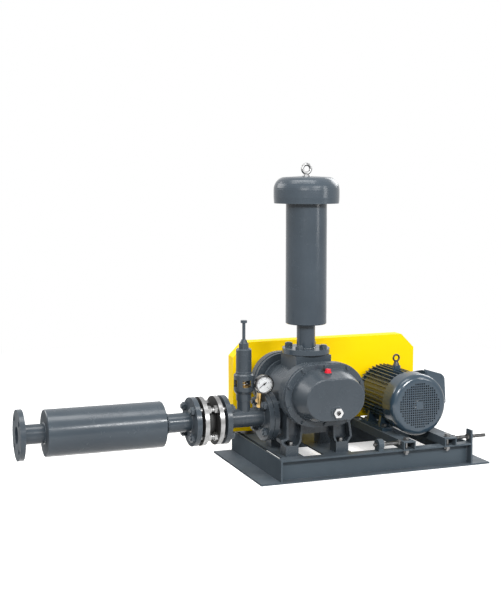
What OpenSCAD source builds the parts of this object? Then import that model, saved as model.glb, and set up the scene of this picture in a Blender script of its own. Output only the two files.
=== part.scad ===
// Belt-driven three-lobe roots blower set on a skid: front is -Y, motor side is +X, up is +Z.
// The origin lies on the underside of the front rail, at mid length. Millimetres.

/* [Skid] */
// Length of the skid between the outer faces of its end angles
frame_l = 700; // [640:5:780]
// Depth of the skid, front lip to rear lip
frame_d = 440; // [430:5:480]
// Height of the rails
rail_h = 75; // [65:1:90]
// Width of the rail flanges
rail_flange = 32; // [30:1:36]
// Plate thickness of the rails
rail_t = 5; // [4:0.5:7]
// Width of the anchoring leg of the end angles
foot_w = 67; // [50:1:90]
// Thickness of the end angles
foot_t = 6; // [5:0.5:8]
// Height of the cross channels under the blower
cross_h = 40; // [30:1:55]
// Width of the cross channel on the discharge side
cross_left_w = 75; // [60:1:85]
// Width of the cross channel on the motor side
cross_right_w = 100; // [80:1:110]

/* [Blower] */
// Distance of the blower's middle from the skid's left end
blower_off = 140; // [130:1:145]
// Place of the ports' plane, from the skid's front lip
port_plane = 123; // [118:1:130]
// Height of the rotor axes above the floor
axis_z = 280; // [270:1:290]
// Distance between the rotor axes
rotor_cd = 80; // [76:1:84]
// Length of the rotor chamber
casing_l = 224; // [210:1:236]
// Wall of the rotor chamber
casing_wall = 14; // [10:0.5:18]
// Clearance of a rotor to the casing and to its partner
rotor_gap = 0.3; // [0.2:0.05:0.5]
// End radius of the side plates
plate_r = 100; // [96:1:104]
// Thickness of the side plates
plate_t = 27; // [24:1:30]
// Length of the gear cover in front of the side plate
cover_l = 87; // [80:1:95]
// Corner radius of the gear cover's front face
cover_face_r = 66; // [62:1:70]
// Radius of the gear cover's body at its flange
cover_root_r = 83; // [80:1:84]
// Radius of the rotor shafts
shaft_r = 15; // [12:0.5:17]
// Running clearance of a shaft in its seal and bearings
run_gap = 0.05; // [0.03:0.01:0.08]
// Outer radius of the shaft bearings
bearing_r = 31; // [28:0.5:34]
// Width of the shaft bearings
bearing_w = 16; // [12:1:18]
// Radius of the casing screws
screw_r = 4; // [3:0.5:5]
// Height of the foot pads
pad_h = 34; // [30:1:38]
// Module of the timing gears
gear_pitch_r = 40; // [38:1:42]

/* [Ports] */
// Height of the discharge line above the floor
line_z = 193; // [187:1:198]
// Outer diameter of the pipes
pipe_od = 60.5; // [57:0.5:63.5]
// Bore of the pipes
pipe_bore = 52.9; // [49:0.1:54]
// Outer diameter of the flanges
flange_od = 155; // [150:1:165]
// Thickness of the flanges
flange_t = 16; // [14:0.5:20]
// Bolt circle of the flanges
bolt_pcd = 120; // [116:1:127]
// Diameter of the outer flange's bolt holes
bolt_hole = 19; // [18.5:0.5:20]
// Diameter of the holes of the flanges that are bolted up
bolt_clear = 17.5; // [17:0.5:18]
// Diameter of the flange bolts
bolt_d = 16; // [14:0.5:17]
// Thickness of the port gaskets
gasket_t = 2; // [1:0.5:3]
// Height of the casing's inlet face above the rotor axes
inlet_h = 112; // [106:1:118]
// Distance of the casing's discharge face from the blower's middle
outlet_l = 140; // [136:1:145]

/* [Inlet silencer] */
// Length of the neck from the flange face to the shell
neck_h = 96; // [80:1:120]
// Diameter of the vertical shell
inlet_shell_d = 134; // [125:1:145]
// Height of the vertical shell
inlet_shell_h = 410; // [340:5:460]
// Wall of the silencer shells
shell_t = 3; // [2:0.5:5]
// Radius of the cap's rim
cap_r = 106; // [98:1:114]
// Height of the cap
cap_h = 89; // [80:1:96]
// Height of the shell that the cap covers
cap_lap = 16; // [8:1:24]

/* [Discharge line] */
// Distance of the tee's left flange face from its right flange face
tee_l = 158; // [150:1:180]
// Distance of the riser from the tee's right flange face
riser_x = 77; // [72:1:80]
// Diameter of the riser pipe
riser_d = 42.7; // [38:0.1:46]
// Free length of the rubber joint between the flange faces
joint_l = 86; // [78:1:96]
// Thickness of the joint's floating rings
ring_t = 14; // [12:0.5:16]
// Thickness of the joint's rubber collars
collar_t = 11; // [9:0.5:13]
// Diameter of the horizontal shell
shell_d = 144; // [134:1:152]
// Length of the horizontal shell
shell_l = 372; // [330:1:410]
// Neck between the joint's flange and the shell
neck_r_l = 111; // [90:1:130]
// Neck between the shell and the outer flange
neck_l_l = 84; // [70:1:100]

/* [Relief valve] */
// Height of the valve's windowed body
relief_body_h = 64; // [60:1:72]
// Radius of the windowed body
relief_body_r = 32.4; // [30:0.2:35]
// Height of the spring bonnet
bonnet_h = 81; // [75:1:90]
// Radius of the spring bonnet
bonnet_r = 25; // [23:0.5:28]
// Radius of the adjusting spindle
spindle_r = 5.2; // [4.5:0.1:6]
// Lift of the valve disc
relief_lift = 8; // [5:0.5:10]

/* [Pressure gauge] */
// Radius of the gauge case
gauge_r = 30; // [27:0.5:33]
// Depth of the gauge case
gauge_t = 24; // [20:0.5:28]
// Distance of the gauge's boss from the tee's right flange
gauge_x = 14; // [13.5:0.5:15]
// Lean of the gauge and its cock towards the flange
gauge_lean = 5; // [0:0.5:5]
// Further lean of the gauge on its stem
gauge_turn = 6; // [0:0.5:8]

/* [Motor] */
// Distance of the motor axis from the skid's right end
motor_off = 167; // [162:1:170]
// Height of the motor axis above its feet
motor_h = 100; // [98:1:104]
// Front face of the fan cowl, from the skid's front lip
cowl_y = 61.5; // [50:0.5:66]
// Outer radius of the fan cowl
cowl_r = 104; // [103:0.5:106]
// Depth of the fan cowl
cowl_l = 70; // [60:1:76]
// Gap between the motor's rear shield and the belt guard
motor_gap = 11.5; // [9:0.5:28]
// Radius over the fins
fin_r = 99; // [96:0.5:100]
// Radius of the frame between the fins
core_r = 84; // [80:1:88]
// Number of fins around the frame
fin_count = 40; // [30:2:44]
// Thickness of a fin
fin_t = 3; // [2.5:0.5:4]
// Distance between the foot bolts across the axis
foot_a = 155; // [150:1:165]
// Distance between the foot bolts along the axis
foot_b = 125; // [120:1:140]
// Width of the beams under the motor
beam_w = 44; // [40:1:50]
// Height of the beams under the motor
beam_h = 27; // [24:1:30]
// Wall of the beams
beam_t = 4; // [3:0.5:5]
// Motor travel each way for setting the belts
motor_travel = 10; // [6:1:12]
// Radius of the motor shaft
motor_shaft_r = 14; // [12:0.5:16]

/* [Drive] */
// Distance of the belts' middle plane from the skid's rear lip
belt_back = 58; // [56:0.5:60]
// Outer radius of the blower pulley
blower_pulley_r = 95; // [85:1:98]
// Outer radius of the motor pulley
motor_pulley_r = 75; // [65:1:82]
// Width of the pulleys
pulley_w = 35; // [34:0.5:36]
// Distance between the two belts
belt_pitch = 15; // [14.5:0.5:16]
// Clearance of a belt to the flanks of its groove
belt_gap = 0.3; // [0.2:0.05:0.5]
// Height of a belt
belt_h = 8; // [7:0.5:9]

/* [Belt guard] */
// Reach of the guard past the skid's left end
guard_left = 25; // [10:1:35]
// Distance of the guard's right end from the skid's right end
guard_right = 20; // [5:1:28]
// Underside of the guard
guard_z0 = 89; // [84:1:94]
// Top of the guard
guard_z1 = 398; // [390:1:410]
// Distance of the guard's front face from the skid's rear lip
guard_back = 80; // [79:1:83]
// Depth of the guard
guard_d = 48; // [47:1:50]
// Sheet thickness of the guard
guard_t = 2; // [1.5:0.5:2]
// Corner cut at the guard's top
guard_cut = 50; // [30:1:60]

/* [Hidden] */
$fn = 64;

paint = [0.28, 0.32, 0.36];
zinc = [0.78, 0.78, 0.80];
yellow = [1.0, 0.84, 0.02];

front_y = -rail_flange / 2;
back_y = front_y + frame_d;
end_x = frame_l / 2;
blower_x = blower_off - end_x;
motor_x = end_x - motor_off;
guard_x0 = -end_x - guard_left;
guard_x1 = end_x - guard_right;
port_y = front_y + port_plane;
half_cd = rotor_cd / 2;
rotor_r = half_cd * 4 / 3;
bore_r = rotor_r + rotor_gap + 0.2;
barrel_r = bore_r + casing_wall;
plate_y = casing_l / 2;
cover_y = plate_y + plate_t;
cover_flange_t = 12;
gear_z0 = 8;
gear_w = 22;
drive_x = blower_x - half_cd;
motor_ax_z = rail_h + beam_h + motor_h;
belt_y = back_y - belt_back;
guard_front = back_y - guard_back;
outlet_x = blower_x - outlet_l;
inlet_z = axis_z + inlet_h;
tee_x1 = outlet_x - gasket_t;
tee_x0 = tee_x1 - tee_l;
joint_x0 = tee_x0 - joint_l;
shell_x1 = joint_x0 - neck_r_l;
shell_x0 = shell_x1 - shell_l;
line_x0 = shell_x0 - neck_l_l;
relief_x = tee_x1 - riser_x;
relief_z0 = line_z + 80;
seat_z = relief_z0 + 16;
bonnet_z0 = relief_z0 + relief_body_h;
bonnet_z1 = bonnet_z0 + bonnet_h;
gauge_bx = tee_x1 - flange_t - gauge_x;
gauge_h = 111;
cowl_front = front_y + cowl_y;
frame_front = cowl_front + cowl_l;
shield_t = 20;
motor_l = guard_front - motor_gap - shield_t - frame_front;
frame_back = frame_front + motor_l;
stator_r = 62;
spigot_r = stator_r - run_gap;
cowl_t = 2;
rim_r = cowl_r - cowl_t - 0.2;
motor_end = frame_back + shield_t;
beam_x = [motor_x - foot_a / 2, motor_x + foot_a / 2];
foot_y = (frame_front + frame_back) / 2;
tilt = atan2(motor_ax_z - axis_z, motor_x - drive_x);

// Extrudes a front-view outline (x right, y up) from y0 towards the rear.
module front_plate(y0, t) {
  translate([0, y0 + t, 0]) rotate([90, 0, 0]) linear_extrude(t) children();
}
// Turns an (r, z) profile about an axis that points to the front, starting at y0.
module turned_front(x, y0, z) {
  translate([x, y0, z]) rotate([90, 0, 0]) rotate_extrude() children();
}
module turned_back(x, y0, z) {
  translate([x, y0, z]) rotate([-90, 0, 0]) rotate_extrude() children();
}
// Turns an (r, z) profile about an axis that points left (towards -X).
module turned_left(x, y, z) {
  translate([x, y, z]) rotate([0, -90, 0]) rotate_extrude() children();
}
module rod_y(x, y0, z, r, l) {
  translate([x, y0, z]) rotate([-90, 0, 0]) cylinder(h = l, r = r);
}
module rod_x(x0, y, z, r, l) {
  translate([x0, y, z]) rotate([0, 90, 0]) cylinder(h = l, r = r);
}
module oblong(r, cd) {
  union() {
    translate([-cd / 2, 0]) circle(r);
    translate([cd / 2, 0]) circle(r);
    square([cd, 2 * r], center = true);
  }
}
// Revolved ends with a straight middle: an oblong body from one (r, z) profile.
module oblong_turned(cd) {
  for (s = [0, 1]) mirror([s, 0, 0]) translate([cd / 2, 0, 0])
    rotate([0, 0, -90]) rotate_extrude(angle = 180) children();
  rotate([90, 0, 90]) linear_extrude(cd, center = true) {
    children();
    mirror([1, 0, 0]) children();
  }
}
// Screw places around an oblong flange: four on each end and one above and below.
function flange_places(r, cd) = concat(
  [for (s = [-1, 1], a = [-66, -22, 22, 66]) [s * (cd / 2 + r * cos(a)), r * sin(a)]],
  [[0, r], [0, -r]]
);
function circle_places(r, n, a0) = [for (i = [0:n - 1]) [r * cos(a0 + i * 360 / n), r * sin(a0 + i * 360 / n)]];

module rail_profile() {
  // open side to the front, seen from the right
  polygon([
    [-rail_flange / 2, 0], [rail_flange / 2, 0], [rail_flange / 2, rail_h],
    [-rail_flange / 2, rail_h], [-rail_flange / 2, rail_h - rail_t],
    [rail_flange / 2 - rail_t, rail_h - rail_t], [rail_flange / 2 - rail_t, rail_t],
    [-rail_flange / 2, rail_t]
  ]);
}
slot_r = 6.5;
module clamp_slots() {
  for (x = beam_x) {
    for (s = [-1, 1]) translate([x + s * motor_travel, 0, rail_h - rail_t - 1]) cylinder(h = rail_t + 2, r = slot_r);
    translate([x - motor_travel, -slot_r, rail_h - rail_t - 1]) cube([2 * motor_travel, 2 * slot_r, rail_t + 2]);
  }
}
module rail() {
  color(paint) difference() {
    rotate([90, 0, 90]) linear_extrude(frame_l - 2 * foot_t, center = true) rail_profile();
    clamp_slots();
  }
}
module front_rail() { rail(); }
module rear_rail() {
  translate([0, back_y - rail_flange / 2, 0]) mirror([0, 1, 0]) rail();
}
module end_angle() {
  color(paint) front_plate(front_y, frame_d) polygon([
    [-end_x - foot_w, 0], [-end_x + foot_t, 0], [-end_x + foot_t, rail_h],
    [-end_x, rail_h], [-end_x, foot_t], [-end_x - foot_w, foot_t]
  ]);
}
module left_end_angle() { end_angle(); }
module right_end_angle() { mirror([1, 0, 0]) end_angle(); }

left_pad_x = blower_x - 84;
right_pad_x = blower_x + 93;
leg_y = 83;
leg_t = 44;
pocket_t = 30;
pad_y = leg_y - 18;
module cross_channel(x, w) {
  front_plate(rail_flange / 2, frame_d - 2 * rail_flange) translate([x, rail_h - cross_h]) difference() {
    translate([-w / 2, 0]) square([w, cross_h]);
    translate([-w / 2 - 1, -1]) square([w - rail_t + 1, cross_h - rail_t + 1]);
  }
}
module pad_places() {
  for (x = [left_pad_x, right_pad_x], s = [-1, 1])
    translate([x, port_y + s * pad_y, 0]) children();
}
pad_bolt_r = 6;
module cross_channels() {
  color(paint) difference() {
    union() {
      cross_channel(left_pad_x - 0.5, cross_left_w);
      cross_channel(right_pad_x - 20, cross_right_w);
    }
    pad_places() translate([0, 0, rail_h - rail_t - 1]) cylinder(h = rail_t + 2, r = pad_bolt_r + 0.5);
  }
}

tension_r = 6;
lug_x = beam_x[0] - 100;
tension_z = rail_h + beam_h - 7;
module tension_lugs() {
  color(paint) for (y = [0, back_y - rail_flange / 2]) {
    difference() {
      union() {
        rod_x(lug_x - 9, y, tension_z, 18.5, 18);
        translate([lug_x - 9, y - 14, rail_h]) cube([18, 28, tension_z - rail_h - 6]);
      }
      rod_x(lug_x - 10, y, tension_z, tension_r + 0.4, 20);
      translate([lug_x - 10, y - 20, rail_h - 30]) cube([20, 40, 30]);
    }
    difference() {
      translate([end_x - foot_t, y - 16, rail_h]) cube([foot_t, 32, 44]);
      rod_x(end_x - foot_t - 1, y, tension_z, tension_r + 0.4, foot_t + 2);
    }
  }
}

// Rotor outline: lobes are epicycloids and roots hypocycloids on one pitch circle.
function lobe_point(t) = let (r = half_cd / 6, u = t % 120, a = t)
  u < 60
    ? [(half_cd + r) * cos(a) - r * cos(a + 6 * u), (half_cd + r) * sin(a) - r * sin(a + 6 * u)]
    : [(half_cd - r) * cos(a) + r * cos(a - 6 * u), (half_cd - r) * sin(a) + r * sin(a - 6 * u)];
function inset(p, c) = [for (i = [0:len(p) - 1])
  let (a = p[(i + len(p) - 1) % len(p)], b = p[(i + 1) % len(p)], d = (b - a) / norm(b - a))
  p[i] + c * [-d[1], d[0]]];
module rotor_outline() {
  rotate(-30) polygon(inset([for (i = [0:143]) lobe_point(i * 2.5)], rotor_gap));
}
module rotor(x, back_l) {
  front_plate(port_y - casing_l / 2 + rotor_gap, casing_l - 2 * rotor_gap)
    translate([x, axis_z]) rotor_outline();
  rod_y(x, port_y - cover_y - gear_z0 - gear_w - 16, axis_z, shaft_r, cover_y + gear_z0 + gear_w + 16 + back_l);
}
drive_end = belt_y - port_y + pulley_w / 2 + 1;
module drive_rotor() {
  color([0.55, 0.56, 0.58]) difference() {
    rotor(drive_x, drive_end);
    turned_back(drive_x, port_y + drive_end, axis_z) polygon([[shaft_r - 1, 0.5], [shaft_r + 1, -1.5], [shaft_r + 1, 0.5]]);
  }
}
module driven_rotor() {
  color([0.55, 0.56, 0.58]) rotor(drive_x + rotor_cd, plate_y + plate_t + 4);
}

// Involute spur gear outline on the pitch circle that the rotor distance sets.
teeth = 20;
gear_r = half_cd;
tooth_m = 2 * gear_r / teeth;
base_r = gear_r * cos(20);
tip_r = gear_r + tooth_m * 0.9;
root_r = gear_r - tooth_m * 1.15;
function inv_len(r) = sqrt(max(0, (r / base_r) * (r / base_r) - 1));
function inv_ang(r) = inv_len(r) * 180 / PI - atan(inv_len(r));
tooth_half = 90 / teeth + inv_ang(gear_r) - 0.35;
flank = [for (i = [0:5]) base_r + (tip_r - base_r) * i / 5];
function polar(r, a) = [r * cos(a), r * sin(a)];
function tooth(a) = concat(
  [polar(root_r, a - tooth_half - 0.4)],
  [for (r = flank) polar(r, a - tooth_half + inv_ang(r))],
  [for (i = [5:-1:0]) polar(flank[i], a + tooth_half - inv_ang(flank[i]))],
  [polar(root_r, a + tooth_half + 0.4)]
);
gear_outline = [for (k = [0:teeth - 1]) each tooth(k * 360 / teeth)];
module timing_gear(x, turn) {
  color([0.45, 0.46, 0.48]) front_plate(port_y - cover_y - gear_z0 - gear_w, gear_w)
    translate([x, axis_z]) difference() {
      rotate(turn) polygon(gear_outline);
      circle(shaft_r);
    }
  // clamping nut on the shaft's thread
  color([0.45, 0.46, 0.48]) front_plate(port_y - cover_y - gear_z0 - gear_w - 12, 12)
    translate([x, axis_z]) difference() {
      circle(shaft_r + 8, $fn = 6);
      circle(shaft_r);
    }
}
module drive_timing_gear() { timing_gear(drive_x, 0); }
module driven_timing_gear() { timing_gear(drive_x + rotor_cd, 180 / teeth); }

seal_w = 8;
module rotor_bearings() {
  color([0.7, 0.7, 0.72]) {
    for (x = [drive_x, drive_x + rotor_cd]) {
      for (y = [port_y - cover_y + 1, port_y + cover_y - 1 - bearing_w])
        turned_back(x, y, axis_z) translate([shaft_r + run_gap, 0]) square([bearing_r - shaft_r - run_gap, bearing_w]);
    }
    turned_back(drive_x, port_y + cover_y + 14, axis_z) translate([shaft_r + run_gap, 0]) square([9, seal_w]);
  }
}

screw_ring = plate_r - 8.5;
module screw_holes(y0, l, r) {
  for (p = flange_places(screw_ring, rotor_cd)) rod_y(blower_x + p[0], y0, axis_z + p[1], r, l);
}
port_half = 62;
// Cast legs with a pocket between two ribs, open to the front or the rear, over a pad with its bolt.
module leg_pair(y, front) {
  pad_z = rail_h - axis_z;
  top_z = pad_z + pad_h;
  difference() {
    front_plate(y, leg_t) translate([blower_x, axis_z]) {
      polygon([
        [-104, -40], [-104, -146], [-122, -150], [-120, -162], [-110, top_z], [-106, top_z], [-106, pad_z],
        [-62, pad_z], [-62, top_z], [-55, -164], [-52, -155], [-47, -109], [-40, -60]
      ]);
      polygon([
        [40, -60], [60, -102], [62, -155], [66, -164], [71, top_z], [71, pad_z], [115, pad_z], [115, top_z],
        [122, -164], [128, -155], [122, -112], [104, -50]
      ]);
    }
    front_plate(front ? y - 1 : y + leg_t - pocket_t, pocket_t + 1) translate([blower_x, axis_z]) {
      polygon([
        [-97, -84], [-97, -150], [-115, -155], [-114, -160], [-104, top_z], [-66, top_z], [-60, -162], [-58, -155],
        [-54, -112], [-58, -84]
      ]);
      polygon([
        [64, -84], [66, -106], [68, -155], [71, -162], [75, top_z], [111, top_z], [116, -162], [121, -155],
        [115, -112], [104, -84]
      ]);
    }
  }
}
module rotor_casing() {
  fl = 16;
  color(paint) difference() {
    union() {
      front_plate(port_y - plate_y, casing_l) translate([blower_x, axis_z]) oblong(barrel_r, rotor_cd);
      for (y = [-plate_y, plate_y - fl])
        front_plate(port_y + y, fl) translate([blower_x, axis_z]) oblong(plate_r - 2, rotor_cd);
      // stiffening ribs around the barrel
      for (y = [-1, 1])
        front_plate(port_y + y * (plate_y - fl - 17) - 4, 8) translate([blower_x, axis_z]) oblong(barrel_r + 12, rotor_cd);
      // inlet block
      translate([blower_x - port_half, port_y - port_half, axis_z]) cube([2 * port_half, 2 * port_half, inlet_h]);
      // discharge block below the rotors, turned to the left
      translate([blower_x - 104, port_y - 58, line_z - 54]) cube([164, 116, axis_z - line_z + 40]);
      leg_pair(port_y - leg_y, true);
      leg_pair(port_y + leg_y - leg_t, false);
      rod_x(outlet_x + 1, port_y, line_z, pipe_od / 2 + 6, outlet_l - 100);
      turned_left(outlet_x + flange_t, port_y, line_z) square([flange_od / 2, flange_t]);
    }
    for (s = [-1, 1]) rod_y(blower_x + s * half_cd, port_y - plate_y - 1, axis_z, bore_r, casing_l + 2);
    // inlet passage
    translate([blower_x - 24, port_y - 50, axis_z]) cube([48, 100, inlet_h - 20]);
    translate([blower_x, port_y, axis_z]) cylinder(h = inlet_h + 1, r = pipe_bore / 2);
    // discharge passage
    translate([blower_x - 24, port_y - 50, line_z - 42]) cube([48, 100, axis_z - line_z + 20]);
    rod_x(outlet_x - 1, port_y, line_z, pipe_bore / 2, outlet_l);
    for (p = circle_places(bolt_pcd / 2, 4, 45)) {
      translate([blower_x + p[0], port_y + p[1], inlet_z - 22]) cylinder(h = 23, r = bolt_d / 2 + 0.2);
      rod_x(outlet_x - 1, port_y + p[0], line_z + p[1], bolt_clear / 2, flange_t + 1.2);
    }
    pad_places() translate([0, 0, rail_h - 1]) cylinder(h = pad_h + 2, r = pad_bolt_r + 0.5);
    screw_holes(port_y - plate_y - 1, 15, screw_r + 0.2);
    screw_holes(port_y + plate_y - 14, 15, screw_r + 0.2);
  }
}

module side_plate(front) {
  y0 = front ? port_y - cover_y : port_y + plate_y;
  color(paint) difference() {
    front_plate(y0, plate_t) translate([blower_x, axis_z]) oblong(plate_r, rotor_cd);
    for (x = [-half_cd, half_cd]) {
      rod_y(blower_x + x, y0 - 1, axis_z, shaft_r + 1.5, plate_t + 2);
      rod_y(blower_x + x, front ? y0 - 1 : y0 + plate_t - bearing_w - 1, axis_z, bearing_r, bearing_w + 2);
    }
    screw_holes(y0 - 1, plate_t + 2, screw_r + 0.2);
  }
}
module gear_side_plate() { side_plate(true); }
module drive_side_plate() { side_plate(false); }

cover_cd = 67;
glass_x = blower_x + 4;
glass_z = axis_z - 40;
glass_r = 12;
filler_r = 9;
filler_d = 49;
plug_d = 30;
// Radius of the cover's body at a depth in front of the side plate
function cover_at(d) = cover_root_r - (cover_root_r - cover_face_r)
  * pow(max(0, d - cover_flange_t) / (cover_l - cover_flange_t - 5), 1.2);
filler_x = blower_x - 10;
plug_x = blower_x - 15;
filler_y = port_y - cover_y - filler_d;
plug_y = port_y - cover_y - plug_d;
filler_top = axis_z + cover_at(filler_d - filler_r - 4) + 0.6;
plug_top = axis_z + cover_at(plug_d - 9) + 0.6;
module gear_cover() {
  y0 = port_y - cover_y;
  color(paint) difference() {
    union() {
      front_plate(y0 - cover_flange_t, cover_flange_t) translate([blower_x, axis_z]) oblong(plate_r - 2, rotor_cd);
      translate([blower_x, y0, axis_z]) rotate([90, 0, 0]) oblong_turned(cover_cd) polygon(concat(
        [[0, cover_flange_t - 1], [cover_root_r, cover_flange_t - 1]],
        [for (t = [0:0.125:0.875]) let (d = cover_flange_t + (cover_l - cover_flange_t - 5) * t) [cover_at(d), d]],
        [for (a = [0:15:90]) [cover_face_r - 5 + 5 * cos(a), cover_l - 5 + 5 * sin(a)]],
        [[0, cover_l]]
      ));
      // raised seat around the sight glass
      rod_y(glass_x, y0 - cover_l - 2, glass_z, glass_r + 9, 8);
      // filler boss on the cover's shoulder
      translate([filler_x, filler_y, axis_z + 60]) cylinder(h = filler_top - axis_z - 60, r = filler_r + 3);
      translate([plug_x, plug_y, axis_z + 60]) cylinder(h = plug_top - axis_z - 60, r = 8);
    }
    // gear chamber
    translate([blower_x, y0 + 1, axis_z]) rotate([90, 0, 0]) oblong_turned(rotor_cd)
      polygon([[0, 0], [54, 0], [54, 20], [50, cover_l - 9], [0, cover_l - 9]]);
    screw_holes(y0 - cover_flange_t - 1, cover_flange_t + 2, screw_r + 0.2);
    rod_y(glass_x, y0 - cover_l - 3, glass_z, glass_r, 20);
    translate([filler_x, filler_y, axis_z + 40]) cylinder(h = 50, r = filler_r);
    translate([plug_x, plug_y, axis_z + 40]) cylinder(h = 50, r = 4);
  }
}
module bearing_cover() {
  y0 = port_y + cover_y;
  color(paint) difference() {
    union() {
      front_plate(y0, 10) translate([blower_x, axis_z]) oblong(52, rotor_cd);
      for (x = [-half_cd, half_cd]) turned_back(blower_x + x, y0, axis_z)
        polygon([[0, 0], [42, 0], [40, 24], [37, 27], [0, 27]]);
    }
    rod_y(drive_x, y0 - 1, axis_z, shaft_r + 1, 40);
    rod_y(drive_x, y0 - 1, axis_z, shaft_r + 9 + run_gap, 15 + seal_w);
    rod_y(drive_x + rotor_cd, y0 - 1, axis_z, shaft_r + 4, 16);
    for (p = flange_places(46.5, rotor_cd)) rod_y(blower_x + p[0], y0 - 1, axis_z + p[1], screw_r * 0.75 + 0.2, 12);
  }
}
module cap_screw(x, y, z, r, l, s) {
  // s = -1: head to the front
  rod_y(x, s < 0 ? y : y - l, z, r, l);
  rod_y(x, s < 0 ? y - 1.6 * r : y, z, 1.6 * r, 1.6 * r);
}
module casing_screws() {
  color([0.35, 0.36, 0.38]) {
    for (p = flange_places(screw_ring, rotor_cd)) {
      cap_screw(blower_x + p[0], port_y - cover_y - cover_flange_t, axis_z + p[1], screw_r, cover_flange_t + plate_t + 11, -1);
      cap_screw(blower_x + p[0], port_y + cover_y, axis_z + p[1], screw_r, plate_t + 11, 1);
    }
    for (p = flange_places(46.5, rotor_cd))
      cap_screw(blower_x + p[0], port_y + cover_y + 10, axis_z + p[1], screw_r * 0.75, 10, 1);
  }
}
module hex_z(r, h) { cylinder(h = h, r = r, $fn = 6); }
module foot_bolts() {
  color(zinc) pad_places() {
    translate([0, 0, rail_h - rail_t - 12]) cylinder(h = rail_t + pad_h + 14, r = pad_bolt_r);
    translate([0, 0, rail_h + pad_h]) cylinder(h = 2, r = 10.5);
    translate([0, 0, rail_h + pad_h + 2]) hex_z(9.5, 8);
    translate([0, 0, rail_h - rail_t - 10]) hex_z(9.5, 10);
  }
}

module oil_sight_glass() {
  y0 = port_y - cover_y - cover_l - 2;
  color([0.85, 0.85, 0.87]) difference() {
    union() {
      front_plate(y0 - 9, 9) translate([glass_x, glass_z]) circle(16.5, $fn = 6);
      rod_y(glass_x, y0, glass_z, glass_r, 8);
    }
    rod_y(glass_x, y0 - 10, glass_z, 7.5, 30);
  }
}
module sight_glass_lens() {
  color([0.1, 0.1, 0.1]) rod_y(glass_x, port_y - cover_y - cover_l - 8, glass_z, 7.5, 4);
}
module oil_filler_plugs() {
  color([0.8, 0.05, 0.2]) translate([filler_x, filler_y, filler_top]) {
    translate([0, 0, -8]) cylinder(h = 8, r = filler_r - run_gap);
    cylinder(h = 3, r = filler_r + 2);
    translate([0, 0, 3]) cylinder(h = 9, r1 = filler_r + 1, r2 = filler_r - 1);
  }
  color([0.08, 0.08, 0.08]) translate([plug_x, plug_y, plug_top]) {
    translate([0, 0, -6]) cylinder(h = 6, r = 4 - run_gap);
    hex_z(6.5, 6);
    cylinder(h = 9, r = 3.5);
  }
}

module flange_ring(bore, hole = bolt_clear) {
  difference() {
    circle(flange_od / 2);
    circle(bore / 2);
    for (p = circle_places(bolt_pcd / 2, 4, 45)) translate(p) circle(hole / 2);
  }
}
inlet_face = inlet_z + gasket_t;
ishell_z0 = inlet_face + neck_h;
ishell_z1 = ishell_z0 + inlet_shell_h;
cap_z0 = ishell_z1 - cap_lap;
module inlet_silencer() {
  r = inlet_shell_d / 2;
  n = pipe_od / 2;
  color(paint) translate([blower_x, port_y, 0]) {
    translate([0, 0, inlet_face]) linear_extrude(flange_t) flange_ring(pipe_bore);
    difference() {
      rotate_extrude() polygon([
        [pipe_bore / 2, inlet_face + 1], [n, inlet_face + 1], [n, ishell_z0],
        [r - 2, ishell_z0], [r, ishell_z0 + 2], [r, ishell_z1], [r - shell_t, ishell_z1],
        [r - shell_t, ishell_z0 + shell_t], [pipe_bore / 2, ishell_z0 + shell_t]
      ]);
    }
    // bridge that carries the cap's stud
    difference() {
      translate([-r + 1, -12, ishell_z1 - 8]) cube([2 * r - 2, 24, 6]);
      translate([0, 0, ishell_z1 - 9]) cylinder(h = 8, r = 6.2);
    }
  }
}
module inlet_filter() {
  r = inlet_shell_d / 2 - shell_t - 0.1;
  color([0.85, 0.84, 0.78]) translate([blower_x, port_y, ishell_z1 - 8.1 - 100]) difference() {
    cylinder(h = 100, r = r);
    translate([0, 0, -1]) cylinder(h = 102, r = r - 16);
  }
}
cap_t = 2.5;
// shoulder of the cap, across and up
cap_e = 37;
cap_eh = 42;
module inlet_cap() {
  top = cap_z0 + cap_h;
  x0 = cap_r + 1.5 - cap_e;
  z0 = top - 3 - cap_eh;
  color(paint) translate([blower_x, port_y, 0]) difference() {
    rotate_extrude() polygon(concat(
      [[cap_r - cap_t, cap_z0], [cap_r, cap_z0], [cap_r + 1.5, cap_z0 + 20]],
      [for (a = [0:10:90]) [x0 + cap_e * cos(a), z0 + cap_eh * sin(a)]],
      [[16, top], [0, top], [0, top - cap_t], [16, top - cap_t]],
      [for (a = [90:-10:0]) [x0 + (cap_e - cap_t) * cos(a), z0 + (cap_eh - cap_t) * sin(a)]],
      [[cap_r + 1.5 - cap_t, cap_z0 + 20]]
    ));
    translate([0, 0, top - 10]) cylinder(h = 12, r = 6.2);
  }
}
module eye(r, w) {
  // ring stands in the XZ plane on its collar
  translate([0, 0, r + w + 3]) rotate([90, 0, 0]) rotate_extrude() translate([r, 0]) circle(w, $fn = 24);
}
module lifting_eye() {
  top = cap_z0 + cap_h;
  color(zinc) translate([blower_x, port_y, 0]) {
    translate([0, 0, ishell_z1 - 22]) cylinder(h = top - ishell_z1 + 24, r = 6);
    translate([0, 0, top]) cylinder(h = 6, r1 = 14, r2 = 11);
    translate([0, 0, top + 1]) eye(14.5, 5.2);
    translate([0, 0, ishell_z1 - 18]) hex_z(10, 10);
    translate([0, 0, ishell_z1 - 2]) hex_z(10, 10);
  }
}
module port_gaskets() {
  color([0.1, 0.1, 0.1]) {
    translate([blower_x, port_y, inlet_z]) linear_extrude(gasket_t) difference() {
      circle(50);
      circle(pipe_bore / 2);
    }
    translate([tee_x1, port_y, line_z]) rotate([0, 90, 0]) linear_extrude(gasket_t) difference() {
      circle(50);
      circle(pipe_bore / 2);
    }
  }
}
nut_r = 13.8;
nut_h = 12;
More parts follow.
